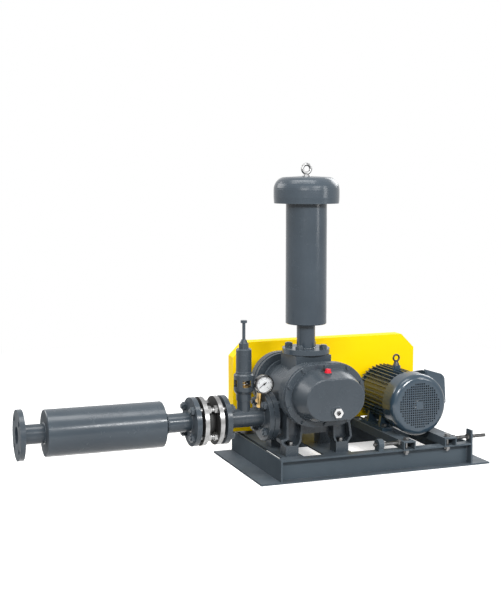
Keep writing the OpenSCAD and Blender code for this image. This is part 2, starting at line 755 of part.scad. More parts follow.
// Stud or bolt along +X through two flanges, nuts at both ends.
module bolt_x(x0, l) {
  for (p = circle_places(bolt_pcd / 2, 4, 45)) translate([x0, port_y + p[0], line_z + p[1]]) rotate([0, 90, 0]) {
    translate([0, 0, -nut_h - 5]) cylinder(h = l + nut_h * 2 + 10, r = bolt_d / 2);
    translate([0, 0, -nut_h]) hex_z(nut_r, nut_h);
    translate([0, 0, l]) hex_z(nut_r, nut_h);
  }
}
module flange_bolts() {
  color(zinc) {
    for (p = circle_places(bolt_pcd / 2, 4, 45)) translate([blower_x + p[0], port_y + p[1], inlet_z - 20]) {
      cylinder(h = 20 + gasket_t + flange_t + nut_h + 2, r = bolt_d / 2);
      translate([0, 0, 20 + gasket_t + flange_t]) hex_z(nut_r, nut_h);
    }
    bolt_x(tee_x1 - flange_t, 2 * flange_t + gasket_t);
    bolt_x(tee_x0 - collar_t - ring_t, collar_t + ring_t + flange_t);
    bolt_x(joint_x0 - flange_t, collar_t + ring_t + flange_t);
  }
}

module pipe_flange_x(x, hole = bolt_clear) {
  translate([x, port_y, line_z]) rotate([0, 90, 0]) linear_extrude(flange_t) flange_ring(pipe_bore, hole);
}
module discharge_tee() {
  color(paint) difference() {
    union() {
      pipe_flange_x(tee_x0);
      pipe_flange_x(tee_x1 - flange_t);
      rod_x(tee_x0 + 1, port_y, line_z, pipe_od / 2, tee_l - 2);
      translate([relief_x, port_y, line_z]) cylinder(h = relief_z0 - line_z, r = riser_d / 2);
      translate([relief_x, port_y, relief_z0 - 22]) cylinder(h = 22, r = riser_d / 2 + 3);
      // boss for the gauge cock
      on_gauge_axis() cylinder(h = pipe_od / 2 + 2, r = 8);
      // stay between the pipe and the flange
      translate([tee_x1 - flange_t - 22, port_y - 3, line_z - pipe_od / 2 - 16]) rotate([90, 0, 0])
        translate([0, 0, -6]) linear_extrude(6) polygon([[0, 20], [24, 20], [24, 0]]);
    }
    rod_x(tee_x0 - 1, port_y, line_z, pipe_bore / 2, tee_l + 2);
    translate([relief_x, port_y, line_z]) cylinder(h = relief_z0 - line_z + 1, r = riser_d / 2 - 3.5);
    on_gauge_axis() cylinder(h = pipe_od, r = 5);
  }
}

module relief_body() {
  r = relief_body_r;
  color(paint) translate([relief_x, port_y, relief_z0]) difference() {
    rotate_extrude() polygon([
      [0, 0], [r - 6, 0], [r - 2, 6], [r, 10], [r, relief_body_h - 4], [r - 4, relief_body_h], [0, relief_body_h]
    ]);
    translate([0, 0, -1]) cylinder(h = 30, r = riser_d / 2 - 3.5);
    translate([0, 0, 16]) cylinder(h = relief_body_h - 24, r = r - 6);
    translate([0, 0, relief_body_h - 12]) cylinder(h = 13, r = 20);
    for (a = [0, 90]) rotate(a) translate([-r - 1, -15, 22]) cube([2 * r + 2, 30, 24]);
  }
}
module relief_bonnet() {
  color(paint) translate([relief_x, port_y, bonnet_z0]) difference() {
    rotate_extrude() polygon([
      [0, 0], [bonnet_r + 1, 0], [bonnet_r + 1, 5], [bonnet_r, 7], [bonnet_r, bonnet_h - 4], [bonnet_r - 3, bonnet_h],
      [0, bonnet_h]
    ]);
    translate([0, 0, -1]) cylinder(h = bonnet_h - 9, r = 20);
    cylinder(h = bonnet_h + 1, r = spindle_r + run_gap);
  }
}
disc_t = 8;
spring_r = 12;
wire_r = 1.6;
spring_z0 = seat_z + disc_t + 0.5;
spring_z1 = bonnet_z1 - 28;
module relief_disc() {
  color([0.72, 0.6, 0.3]) translate([relief_x, port_y, seat_z + 0.3]) difference() {
    union() {
      cylinder(h = disc_t, r = 22);
      cylinder(h = disc_t + 18, r = 7);
    }
  }
}
// Round-wire compression spring, its coils computed point by point.
spring_turns = 9;
spring_steps = 16;
function spring_section(i) = let (a = i * 360 / spring_steps, z = (spring_z1 - spring_z0 - 2 * wire_r - 0.6) * i / (spring_turns * spring_steps))
  [for (k = [0:5]) let (c = spring_r + wire_r * cos(60 * k)) [c * cos(a), c * sin(a), z + wire_r * sin(60 * k)]];
module relief_spring() {
  n = spring_turns * spring_steps;
  color([0.7, 0.7, 0.72]) translate([relief_x, port_y, spring_z0 + 0.3 + wire_r + 0.3]) polyhedron(
    points = [for (i = [0:n]) each spring_section(i)],
    faces = concat(
      [[for (k = [0:5]) k]],
      [for (i = [0:n - 1], k = [0:5]) [6 * i + k, 6 * i + 6 + k, 6 * i + 6 + (k + 1) % 6]],
      [for (i = [0:n - 1], k = [0:5]) [6 * i + k, 6 * i + 6 + (k + 1) % 6, 6 * i + (k + 1) % 6]],
      [[for (k = [5:-1:0]) 6 * n + k]]
    ), convexity = 10);
}
lock_h = 17;
module relief_spindle() {
  top = bonnet_z1 + 91;
  color([0.5, 0.52, 0.55]) translate([relief_x, port_y, 0]) {
    translate([0, 0, spring_z1 + 0.3]) cylinder(h = 6, r = 18);
    translate([0, 0, spring_z1 + 2]) cylinder(h = top - spring_z1 - 6, r = spindle_r);
    translate([0, 0, top - 8]) cylinder(h = 8, r = 10.5);
  }
}
module relief_lock_nut() {
  color(paint) translate([relief_x, port_y, bonnet_z1]) difference() {
    union() {
      hex_z(17, lock_h);
      translate([0, 0, lock_h]) cylinder(h = 12, r1 = 13, r2 = 8);
    }
    translate([0, 0, -1]) cylinder(h = 40, r = spindle_r + run_gap);
  }
}

brass = [0.78, 0.62, 0.32];
cock_h = 46;
handle_h = pipe_od / 2 + 20;
cock_z1 = pipe_od / 2 + 2 + cock_h;
// The gauge, its cock and its boss share one axis that leans in the plane of the pipe.
cock_off = 8;
module on_gauge_axis() {
  translate([gauge_bx, port_y - cock_off, line_z]) rotate([0, gauge_lean, 0]) children();
}
module on_gauge_stem() {
  on_gauge_axis() translate([0, 0, cock_z1]) rotate([0, gauge_turn, 0]) translate([0, 0, -cock_z1]) children();
}
module gauge_cock() {
  color(brass) on_gauge_axis() difference() {
    union() {
      translate([0, 0, pipe_od / 2 - 6]) cylinder(h = 12, r = 4.95);
      translate([0, 0, pipe_od / 2 + 2]) rotate(30) hex_z(8.4, 9);
      translate([0, 0, pipe_od / 2 + 10]) cylinder(h = cock_h - 9, r = 6.5);
      translate([0, 0, handle_h]) rotate([-90, 0, 0]) cylinder(h = 13, r = 6.5);
      translate([0, 0, cock_z1 - 8]) rotate(30) hex_z(7.2, 8);
    }
    cylinder(h = gauge_h, r = 2.6);
    translate([0, 8, handle_h]) rotate([-90, 0, 0]) cylinder(h = 6, r = 4 + run_gap);
  }
}
module cock_handle() {
  color(brass) on_gauge_axis() {
    rod_y(0, 8.5, handle_h, 4, 10);
    translate([-3, 13.3, handle_h]) cube([6, 5, 26]);
    rod_y(0, 13.3, handle_h, 7, 5);
  }
}
gauge_y1 = -3;
gauge_y0 = gauge_y1 - gauge_t;
dial_y = gauge_y0 + 12;
module gauge_case() {
  color([0.75, 0.76, 0.78]) on_gauge_stem() {
    difference() {
      union() {
        turned_front(0, gauge_y1, gauge_h) polygon([
          [0, 0], [gauge_r - 3, 0], [gauge_r - 1, 2], [gauge_r - 1, gauge_t - 5], [gauge_r + 1, gauge_t - 5],
          [gauge_r + 1, gauge_t - 1], [gauge_r, gauge_t], [0, gauge_t]
        ]);
        translate([0, 0, cock_z1 + 0.7]) cylinder(h = 10, r = 6);
        translate([-6, gauge_y1 - 12, cock_z1 + 3]) cube([12, 16, 8]);
      }
      turned_front(0, gauge_y1, gauge_h) polygon([
        [0, gauge_t - 12], [gauge_r - 3, gauge_t - 12], [gauge_r - 3, gauge_t + 1], [0, gauge_t + 1]
      ]);
    }
    rod_y(0, gauge_y0 + 3.5, gauge_h, 1, 12);
  }
}
module gauge_dial() {
  color([0.95, 0.95, 0.95]) on_gauge_stem() difference() {
    rod_y(0, dial_y - 1.5, gauge_h, gauge_r - 3, 1.5);
    rod_y(0, dial_y - 5, gauge_h, 1.2, 10);
  }
}
module gauge_needle() {
  color([0.05, 0.05, 0.05]) on_gauge_stem() difference() {
    union() {
      rod_y(0, dial_y - 6, gauge_h, 3, 2);
      translate([0, dial_y - 4.6, gauge_h]) rotate([90, 0, 0]) rotate(225) linear_extrude(0.8)
        polygon([[-9, 1.4], [-9, -1.4], [21, -0.5], [21, 0.5]]);
    }
    rod_y(0, dial_y - 7, gauge_h, 1 + run_gap, 4);
  }
}
module gauge_lens() {
  color([0.9, 0.95, 1, 0.3]) on_gauge_stem() rod_y(0, gauge_y0 + 0.8, gauge_h, gauge_r - 3, 2);
}

module flex_rubber() {
  r = pipe_od / 2;
  x1 = tee_x0;
  l = joint_l;
  color([0.06, 0.06, 0.06]) turned_left(x1, port_y, line_z) polygon([
    [pipe_bore / 2, 0], [50, 0], [50, collar_t], [r + 8, collar_t], [r + 8, collar_t + ring_t + 1], [r + 14, l / 2 - 9],
    [r + 18, l / 2 - 3], [r + 18, l / 2 + 3], [r + 14, l / 2 + 9], [r + 8, l - collar_t - ring_t - 1], [r + 8, l - collar_t],
    [50, l - collar_t], [50, l], [pipe_bore / 2, l], [r + 4, l / 2]
  ]);
}
module flex_ring(x) {
  translate([x, port_y, line_z]) rotate([0, 90, 0]) linear_extrude(ring_t) flange_ring(pipe_od + 17);
}
module flex_rings() {
  color(zinc) {
    flex_ring(tee_x0 - collar_t - ring_t);
    flex_ring(joint_x0 + collar_t);
  }
}
module discharge_silencer() {
  r = shell_d / 2;
  color(paint) {
    pipe_flange_x(joint_x0 - flange_t);
    pipe_flange_x(line_x0, bolt_hole);
    turned_left(joint_x0 - flange_t + 1, port_y, line_z) polygon([
      [pipe_bore / 2, 0], [pipe_od / 2, 0], [pipe_od / 2, neck_r_l - flange_t + 1],
      [r - 2, neck_r_l - flange_t + 1], [r, neck_r_l - flange_t + 3], [r, neck_r_l - flange_t + shell_l - 1],
      [r - 2, neck_r_l - flange_t + shell_l + 1], [pipe_od / 2, neck_r_l - flange_t + shell_l + 1],
      [pipe_od / 2, joint_x0 - line_x0 - flange_t - flange_t + 2], [pipe_bore / 2, joint_x0 - line_x0 - 2 * flange_t + 2],
      [pipe_bore / 2, neck_r_l - flange_t + shell_l - shell_t + 1],
      [r - shell_t, neck_r_l - flange_t + shell_l - shell_t + 1], [r - shell_t, neck_r_l - flange_t + shell_t + 1],
      [pipe_bore / 2, neck_r_l - flange_t + shell_t + 1]
    ]);
  }
}

module fins(l) {
  difference() {
    linear_extrude(l) union() {
      circle(core_r);
      intersection() {
        circle(fin_r);
        for (i = [0:fin_count / 2 - 1]) rotate((i + 0.5) * 360 / fin_count) square([2 * fin_r, fin_t], center = true);
      }
    }
    translate([0, 0, -1]) cylinder(h = l + 2, r = stator_r);
  }
}
foot_t2 = 12;
module motor_frame() {
  color(paint) difference() {
    union() {
      translate([motor_x, frame_front, motor_ax_z]) rotate([-90, 0, 0]) fins(motor_l);
      for (s = [-1, 1]) {
        translate([motor_x + s * foot_a / 2 - 18, foot_y - foot_b / 2 - 22, rail_h + beam_h]) cube([36, foot_b + 44, foot_t2]);
        // foot webs up to the frame
        for (y = [foot_y - foot_b / 2 + 14, foot_y + foot_b / 2 - 26])
          front_plate(y, 12) translate([motor_x, motor_ax_z]) polygon([
            [s * (foot_a / 2 + 10), -motor_h + 1], [s * (foot_a / 2 - 26), -motor_h + 1],
            [s * 52, -core_r + 18], [s * (core_r - 8), -30]
          ]);
      }
      // seat of the lifting eye
      translate([motor_x, foot_y - 6, motor_ax_z + core_r - 4]) cylinder(h = fin_r - core_r + 14, r = 15);
      // seat of the terminal box
      front_plate(tbox_y + 16, 84) translate([motor_x, motor_ax_z]) polygon([[46, 30], [60, 4], [103, 20], [89, 60]]);
    }
    rod_y(motor_x, frame_front - 1, motor_ax_z, stator_r, motor_l + 2);
    for (s = [-1, 1], y = [-1, 1]) translate([motor_x + s * foot_a / 2, foot_y + y * foot_b / 2, rail_h + beam_h - 1])
      cylinder(h = foot_t2 + 2, r = 6.5);
    translate([motor_x, foot_y - 6, motor_ax_z + fin_r - 6]) cylinder(h = 20, r = 6);
  }
}
module motor_end_shields() {
  color(paint) {
    difference() {
      turned_back(motor_x, frame_back, motor_ax_z) polygon([
        [0, -6], [spigot_r, -6], [spigot_r, 0], [core_r + 6, 0], [core_r + 6, 7], [core_r - 6, 12], [40, shield_t], [0, shield_t]
      ]);
      rod_y(motor_x, frame_back - 10, motor_ax_z, motor_shaft_r + run_gap, 40);
    }
    difference() {
      turned_front(motor_x, frame_front, motor_ax_z) polygon([
        [0, -6], [spigot_r, -6], [spigot_r, 0], [rim_r, 0], [rim_r, 12], [rim_r - 5, 12], [rim_r - 7, 5],
        [45, 8], [40, 14], [0, 14]
      ]);
      rod_y(motor_x, frame_front - 20, motor_ax_z, motor_shaft_r + run_gap, 40);
    }
  }
}
grille_r = 79;
cowl_e = 20;
module fan_cowl() {
  color(paint) difference() {
    translate([motor_x, cowl_front + cowl_l, motor_ax_z]) rotate([90, 0, 0]) rotate_extrude() polygon(concat(
      [[cowl_r - cowl_t, 0], [cowl_r, 0], [cowl_r, cowl_l - cowl_e - 2]],
      [for (a = [0:10:90]) [cowl_r - cowl_e + cowl_e * cos(a), cowl_l - cowl_e + cowl_e * sin(a)]],
      [[0, cowl_l], [0, cowl_l - cowl_t], [cowl_r - cowl_e - 1, cowl_l - cowl_t]],
      [for (a = [90:-10:0]) [cowl_r - cowl_e + (cowl_e - cowl_t) * cos(a), cowl_l - cowl_e + (cowl_e - cowl_t) * sin(a)]]
    ));
    // square perforations inside the grille circle
    for (i = [-9:9], j = [-9:9]) if (norm([i, j]) * 8 < grille_r - 5 && norm([i, j]) * 8 > 15)
      translate([motor_x + i * 8 - 2.5, cowl_front - 1, motor_ax_z + j * 8 - 2.5]) cube([5, 5, 5]);
  }
}
tbox_y = frame_front + 3;
tbox_l = 117;
module terminal_box() {
  color(paint) difference() {
    union() {
      front_plate(tbox_y, tbox_l) translate([motor_x, motor_ax_z]) polygon([
        [62, 88], [89, 60], [103, 20], [103, -14], [137, -14], [140, -10], [134, 66], [120, 82], [60, 102]
      ]);
      // cover plate
      front_plate(tbox_y - 2.5, 6) translate([motor_x, motor_ax_z]) polygon([
        [60, 98], [90, 62], [104, 21], [104, -17], [139, -17], [143, -12], [138, 70], [134, 80], [124, 88], [60, 107]
      ]);
      for (p = [[68, 97], [128, 76], [134, -8], [108, -10]])
        rod_y(motor_x + p[0], tbox_y - 4.5, motor_ax_z + p[1], 3.5, 4);
    }
    // roof that falls to the right and to the rear
    translate([motor_x + 60, tbox_y + 6, motor_ax_z + 104]) rotate([0, 18, 0]) rotate([-12, 0, 0])
      translate([-40, 0, 0]) cube([160, 160, 60]);
  }
}
module motor_eyebolt() {
  color([0.15, 0.15, 0.16]) translate([motor_x, foot_y - 6, motor_ax_z + fin_r + 10]) {
    translate([0, 0, -15]) cylinder(h = 15, r = 6);
    cylinder(h = 14, r1 = 12, r2 = 7);
    translate([0, 0, 9]) eye(11, 3.4);
  }
}
core_gap = 0.5;
module motor_rotor() {
  l0 = cowl_front + 22;
  color([0.6, 0.6, 0.62]) {
    rod_y(motor_x, l0, motor_ax_z, motor_shaft_r, belt_y + pulley_w / 2 + 1 - l0);
    rod_y(motor_x, frame_front + 30, motor_ax_z, stator_r - core_gap, motor_l - 60);
  }
}
module motor_fan() {
  color([0.12, 0.12, 0.13]) {
    difference() {
      union() {
        rod_y(motor_x, cowl_front + 20, motor_ax_z, 24, 26);
        rod_y(motor_x, cowl_front + 43, motor_ax_z, 78, 3);
        translate([motor_x, cowl_front + 18, motor_ax_z]) rotate([-90, 0, 0]) linear_extrude(26)
          for (i = [0:6]) rotate(i * 360 / 7) translate([22, -1.5]) square([58, 3]);
      }
      rod_y(motor_x, cowl_front + 10, motor_ax_z, motor_shaft_r, 60);
    }
  }
}
beam_y0 = front_y - 8;
beam_l = frame_d + 16;
module motor_beams() {
  color(paint) difference() {
    for (x = beam_x) front_plate(beam_y0, beam_l) translate([x, rail_h]) difference() {
      translate([-beam_w / 2, 0]) square([beam_w, beam_h]);
      translate([-beam_w / 2 + beam_t, -1]) square([beam_w - 2 * beam_t, beam_h - beam_t + 1]);
    }
    for (x = beam_x) {
      for (y = [0, back_y - rail_flange / 2]) {
        translate([x, y, rail_h + 1]) cylinder(h = beam_h, r = 6.4);
      }
      for (y = [-1, 1]) translate([x, foot_y + y * foot_b / 2, rail_h + 1]) cylinder(h = beam_h, r = 5.4);
    }
  }
}
module motor_bolts() {
  color(zinc) for (x = beam_x, y = [-1, 1]) translate([x, foot_y + y * foot_b / 2, rail_h + beam_h]) {
    translate([0, 0, -16]) cylinder(h = 16 + foot_t2 + 2, r = 5);
    translate([0, 0, foot_t2]) hex_z(9, 8);
    translate([0, 0, -beam_t - 8]) hex_z(9, 8);
  }
}
module clamp_bolts() {
  color(zinc) for (x = beam_x, y = [0, back_y - rail_flange / 2]) translate([x, y, 0]) {
    translate([0, 0, rail_h - rail_t - 16]) cylinder(h = rail_t + beam_h + 24, r = 6);
    translate([0, 0, rail_h + beam_h]) cylinder(h = 2, r = 11.5);
    translate([0, 0, rail_h + beam_h + 2]) hex_z(10, 8);
    translate([0, 0, rail_h - rail_t - 10.3]) hex_z(10, 10);
  }
}
module tension_rods() {
  color(zinc) for (y = [0, back_y - rail_flange / 2]) {
    rod_x(lug_x - 20, y, tension_z, tension_r, beam_x[0] - beam_w / 2 - lug_x + 20);
    rod_x(beam_x[1] + beam_w / 2, y, tension_z, tension_r, end_x + 58 - beam_x[1] - beam_w / 2);
    // collars welded to the beams
    translate([beam_x[0] - beam_w / 2, y, tension_z]) rotate([0, -90, 0]) hex_z(10, 9);
    translate([beam_x[1] + beam_w / 2, y, tension_z]) rotate([0, 90, 0]) hex_z(10, 9);
  }
}
module tension_nuts() {
  color(zinc) for (y = [0, back_y - rail_flange / 2]) translate([0, y, tension_z]) rotate([0, 90, 0]) difference() {
    union() {
      translate([0, 0, lug_x + 9]) hex_z(10, 8);
      translate([0, 0, end_x - foot_t - 9]) hex_z(10, 9);
    }
    translate([0, 0, lug_x]) cylinder(h = end_x - lug_x + 20, r = tension_r + run_gap);
  }
}

module pulley(x, z, r, bore) {
  c = pulley_w / 2;
  d = belt_pitch / 2;
  g = groove_half(0);
  b = groove_half(belt_h + 2);
  turned_back(x, belt_y - c, z) polygon([
    [bore, 0], [r, 0], [r, c - d - g],
    [r - belt_h - 2, c - d - b], [r - belt_h - 2, c - d + b], [r, c - d + g], [r, c + d - g],
    [r - belt_h - 2, c + d - b], [r - belt_h - 2, c + d + b], [r, c + d + g], [r, pulley_w], [bore, pulley_w]
  ]);
}
module blower_pulley() {
  color([0.3, 0.31, 0.33]) difference() {
    pulley(drive_x, axis_z, blower_pulley_r, shaft_r);
    for (p = circle_places(50, 6, 0)) rod_y(drive_x + p[0], belt_y - 30, axis_z + p[1], 14, 60);
  }
}
module motor_pulley() {
  color([0.3, 0.31, 0.33]) pulley(motor_x, motor_ax_z, motor_pulley_r, motor_shaft_r);
}
// One belt loop: a wedge section carried round both pulleys, point by point.
belt_a = blower_pulley_r - belt_h;
belt_b = motor_pulley_r - belt_h;
drive_len = norm([motor_x - drive_x, motor_ax_z - axis_z]);
wrap = acos((belt_a - belt_b) / drive_len);
belt_steps = 22;
function groove_half(depth) = 6.4 - 2.3 * depth / (belt_h + 2);
function belt_ring(x, r, a) = [for (c = [[0, -1], [1, -1], [1, 1], [0, 1]])
  let (d = c[0] > 0 ? 0.4 : belt_h, e = r + belt_h - d)
  [x + e * cos(a), e * sin(a), c[1] * (groove_half(d) - belt_gap)]];
belt_rings = concat(
  [for (i = [0:belt_steps]) belt_ring(0, belt_a, wrap + (360 - 2 * wrap) * i / belt_steps)],
  [for (i = [0:belt_steps]) belt_ring(drive_len, belt_b, -wrap + 2 * wrap * i / belt_steps)]
);
module belt() {
  n = len(belt_rings);
  polyhedron(points = [for (r = belt_rings) each r], faces = [for (i = [0:n - 1], k = [0:3])
    [4 * i + k, 4 * i + (k + 1) % 4, 4 * ((i + 1) % n) + (k + 1) % 4, 4 * ((i + 1) % n) + k]], convexity = 10);
}
module v_belts() {
  color([0.08, 0.08, 0.08]) for (s = [-1, 1])
    translate([drive_x, belt_y + s * belt_pitch / 2, axis_z]) rotate([90, 0, 0]) rotate([0, 0, tilt]) belt();
}

module guard_outline(e) {
  polygon([
    [guard_x0 + e, guard_z0 + e], [lug_x - 22 - e, guard_z0 + e], [lug_x - 22 - e, rail_h + beam_h + 6 + e], [guard_x1 - e, rail_h + beam_h + 6 + e],
    [guard_x1 - e, guard_z1 - guard_cut - e * 0.414], [guard_x1 - guard_cut - e * 0.414, guard_z1 - e],
    [guard_x0 + guard_cut + e * 0.414, guard_z1 - e], [guard_x0 + e, guard_z1 - guard_cut - e * 0.414]
  ]);
}
module belt_guard() {
  color(yellow) {
    difference() {
      front_plate(guard_front, guard_d) guard_outline(0);
      front_plate(guard_front + guard_t, guard_d - 2 * guard_t) guard_outline(guard_t);
      rod_y(drive_x, guard_front - 1, axis_z, shaft_r + 20, guard_t + 2);
      for (s = [-1, 1]) rod_y(motor_x + s * motor_travel, guard_front - 1, motor_ax_z, motor_shaft_r + 12, guard_t + 2);
      translate([motor_x - motor_travel, guard_front - 1, motor_ax_z - motor_shaft_r - 12])
        cube([2 * motor_travel, guard_t + 2, 2 * motor_shaft_r + 24]);
    }
    // brackets down to the rear rail
    for (x = [guard_x0 + 80, guard_x0 + 270, guard_x1 - 17]) {
      translate([x - 15, guard_front + guard_d, rail_h]) cube([30, 4, 60]);
      translate([x - 15, guard_front + guard_d + 3, rail_h]) cube([30, 24, 4]);
    }
  }
}

front_rail();
rear_rail();
left_end_angle();
right_end_angle();
cross_channels();
tension_lugs();
rotor_casing();
gear_side_plate();
drive_side_plate();
gear_cover();
bearing_cover();
drive_rotor();
driven_rotor();
drive_timing_gear();
driven_timing_gear();
rotor_bearings();
casing_screws();
foot_bolts();
oil_sight_glass();
sight_glass_lens();
oil_filler_plugs();
inlet_silencer();
inlet_cap();
inlet_filter();
lifting_eye();
port_gaskets();
flange_bolts();
discharge_tee();
relief_body();
relief_bonnet();
relief_disc();
relief_spring();
relief_spindle();
relief_lock_nut();
gauge_cock();
cock_handle();
gauge_case();
gauge_dial();
gauge_needle();
gauge_lens();
flex_rubber();
flex_rings();
discharge_silencer();
motor_frame();
motor_end_shields();
fan_cowl();
terminal_box();
motor_eyebolt();
motor_rotor();
motor_fan();
motor_beams();
motor_bolts();
clamp_bolts();
tension_rods();
tension_nuts();
blower_pulley();
motor_pulley();
v_belts();
belt_guard();
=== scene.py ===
import math

import bmesh
import bpy
from mathutils import Matrix, Vector


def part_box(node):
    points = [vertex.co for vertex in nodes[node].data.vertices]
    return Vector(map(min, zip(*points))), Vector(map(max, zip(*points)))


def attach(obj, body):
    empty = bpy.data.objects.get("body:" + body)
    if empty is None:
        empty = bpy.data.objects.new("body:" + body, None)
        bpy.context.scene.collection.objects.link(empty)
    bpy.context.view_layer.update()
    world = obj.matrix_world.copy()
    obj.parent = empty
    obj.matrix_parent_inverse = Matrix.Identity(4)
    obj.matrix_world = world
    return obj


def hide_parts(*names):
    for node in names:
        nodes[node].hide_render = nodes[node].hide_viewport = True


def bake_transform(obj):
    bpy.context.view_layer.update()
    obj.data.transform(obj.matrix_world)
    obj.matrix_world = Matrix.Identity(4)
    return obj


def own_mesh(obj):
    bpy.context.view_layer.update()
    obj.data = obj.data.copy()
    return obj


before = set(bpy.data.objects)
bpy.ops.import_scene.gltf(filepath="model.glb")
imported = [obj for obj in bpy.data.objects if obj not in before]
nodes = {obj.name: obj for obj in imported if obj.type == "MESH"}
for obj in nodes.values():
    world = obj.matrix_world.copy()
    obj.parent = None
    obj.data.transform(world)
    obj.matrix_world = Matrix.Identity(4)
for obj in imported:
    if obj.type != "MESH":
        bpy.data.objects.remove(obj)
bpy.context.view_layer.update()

scene = bpy.context.scene
scene.view_settings.view_transform = "Standard"
print("frame loaded:", len(nodes), "nodes")

camera = {
    "place": (-1.7006, -3.1337, 0.9779),
    "pitch": 87.6,
    "yaw": -19.1,
    "lens": 65.14,
    "sensor": 36.0,
    "shift": (0.0842, -0.1333),
    "reach": 50.0,
}
camData = bpy.data.cameras.new("camera")
camData.lens = camera["lens"]
camData.sensor_width = camera["sensor"]
camData.shift_x, camData.shift_y = camera["shift"]
camData.clip_end = camera["reach"]
camObject = bpy.data.objects.new("camera", camData)
camObject.location = camera["place"]
camObject.rotation_euler = (math.radians(camera["pitch"]), 0.0, math.radians(camera["yaw"]))
scene.collection.objects.link(camObject)
scene.camera = camObject
print("camera placed")


# shader helpers

def newGroup(name, inputs, outputs):
    group = bpy.data.node_groups.new(name, "ShaderNodeTree")
    for label, kind, value in inputs:
        sock = group.interface.new_socket(name=label, in_out="INPUT", socket_type="NodeSocket" + kind)
        sock.default_value = value
    for label, kind in outputs:
        group.interface.new_socket(name=label, in_out="OUTPUT", socket_type="NodeSocket" + kind)
    return group, group.nodes.new("NodeGroupInput").outputs, group.nodes.new("NodeGroupOutput").inputs


def feed(tree, value, sock):
    if isinstance(value, bpy.types.NodeSocket):
        tree.links.new(value, sock)
    else:
        sock.default_value = value


def addNode(tree, kind, settings=None, sockets=None):
    node = tree.nodes.new("ShaderNode" + kind)
    for key, value in (settings or {}).items():
        setattr(node, key, value)
    for key, value in (sockets or {}).items():
        feed(tree, value, node.inputs[key])
    return node


def calc(tree, operation, a, b=0.0, clamp=False):
    settings = {"operation": operation, "use_clamp": clamp}
    return addNode(tree, "Math", settings, {0: a, 1: b}).outputs[0]


def remap(tree, value, low, high, toLow=0.0, toHigh=1.0):
    return addNode(tree, "MapRange", None, {0: value, 1: low, 2: high, 3: toLow, 4: toHigh}).outputs[0]


def mixColour(tree, factor, a, b):
    return addNode(tree, "Mix", {"data_type": "RGBA"}, {0: factor, 6: a, 7: b}).outputs[2]


def noise(tree, place, scale, detail, rough=0.5):
    sockets = {"Vector": place, "Scale": scale, "Detail": detail, "Roughness": rough}
    return addNode(tree, "TexNoise", None, sockets).outputs["Fac"]


def objectPlace(tree):
    return addNode(tree, "TexCoord").outputs["Object"]


def placeGroup(tree, group, values=None):
    return addNode(tree, "Group", {"node_tree": group}, values).outputs


# effects that several materials share

# edge mask: worn paint at the edges, which on the cast paint is also a painted highlight along the rims
def buildEdgeWearAndGlint():
    inputs = [("Width", "Float", 0.0012), ("Amount", "Float", 0.5), ("Breakup", "Float", 160.0)]
    tree, given, out = newGroup("edgeWearAndGlint", inputs, [("Mask", "Float")])
    bevel = addNode(tree, "Bevel", {"samples": 4}, {"Radius": given["Width"]})
    flat = addNode(tree, "NewGeometry").outputs["Normal"]
    dot = addNode(tree, "VectorMath", {"operation": "DOT_PRODUCT"}, {0: bevel.outputs[0], 1: flat})
    edge = remap(tree, dot.outputs["Value"], 0.985, 0.90)  # from nearly flat to a full edge
    patch = noise(tree, objectPlace(tree), given["Breakup"], 4.0, 0.6)
    broken = calc(tree, "MULTIPLY", edge, remap(tree, patch, 0.42, 0.62), True)
    feed(tree, calc(tree, "MULTIPLY", broken, given["Amount"], True), out["Mask"])
    return tree


def buildDustAndSheen():
    inputs = [("Amount", "Float", 0.3), ("Patch Scale", "Float", 9.0)]
    tree, given, out = newGroup("settledDustAndSheen", inputs, [("Mask", "Float")])
    place = objectPlace(tree)
    normal = addNode(tree, "NewGeometry").outputs["Normal"]
    up = addNode(tree, "SeparateXYZ", None, {0: normal}).outputs["Z"]
    facing = remap(tree, up, 0.35, 1.0)  # dust and a painted highlight lie on faces that look up
    patch = remap(tree, noise(tree, place, given["Patch Scale"], 5.0, 0.6), 0.30, 0.72)
    speck = remap(tree, noise(tree, place, 900.0, 1.0), 0.56, 0.70)
    soft = calc(tree, "ADD", patch, calc(tree, "MULTIPLY", speck, 0.35))
    settled = calc(tree, "MULTIPLY", soft, facing)
    feed(tree, calc(tree, "MULTIPLY", settled, given["Amount"], True), out["Mask"])
    return tree


def buildEndFaces():
    # mask of the flat faces square to the pipe line, with a soft start; materials paint shade on these faces
    # and make them duller
    tree, given, out = newGroup("endFaces", [("Amount", "Float", 1.0)], [("Mask", "Float")])
    normal = addNode(tree, "TexCoord").outputs["Normal"]
    across = calc(tree, "ABSOLUTE", addNode(tree, "SeparateXYZ", None, {0: normal}).outputs["X"])
    feed(tree, calc(tree, "MULTIPLY", remap(tree, across, 0.80, 0.97), given["Amount"], True), out["Mask"])
    return tree


# what enamel, plating and moulded give to a material
skinOutputs = [("Color", "Color"), ("Roughness", "Float"), ("Height", "Float")]


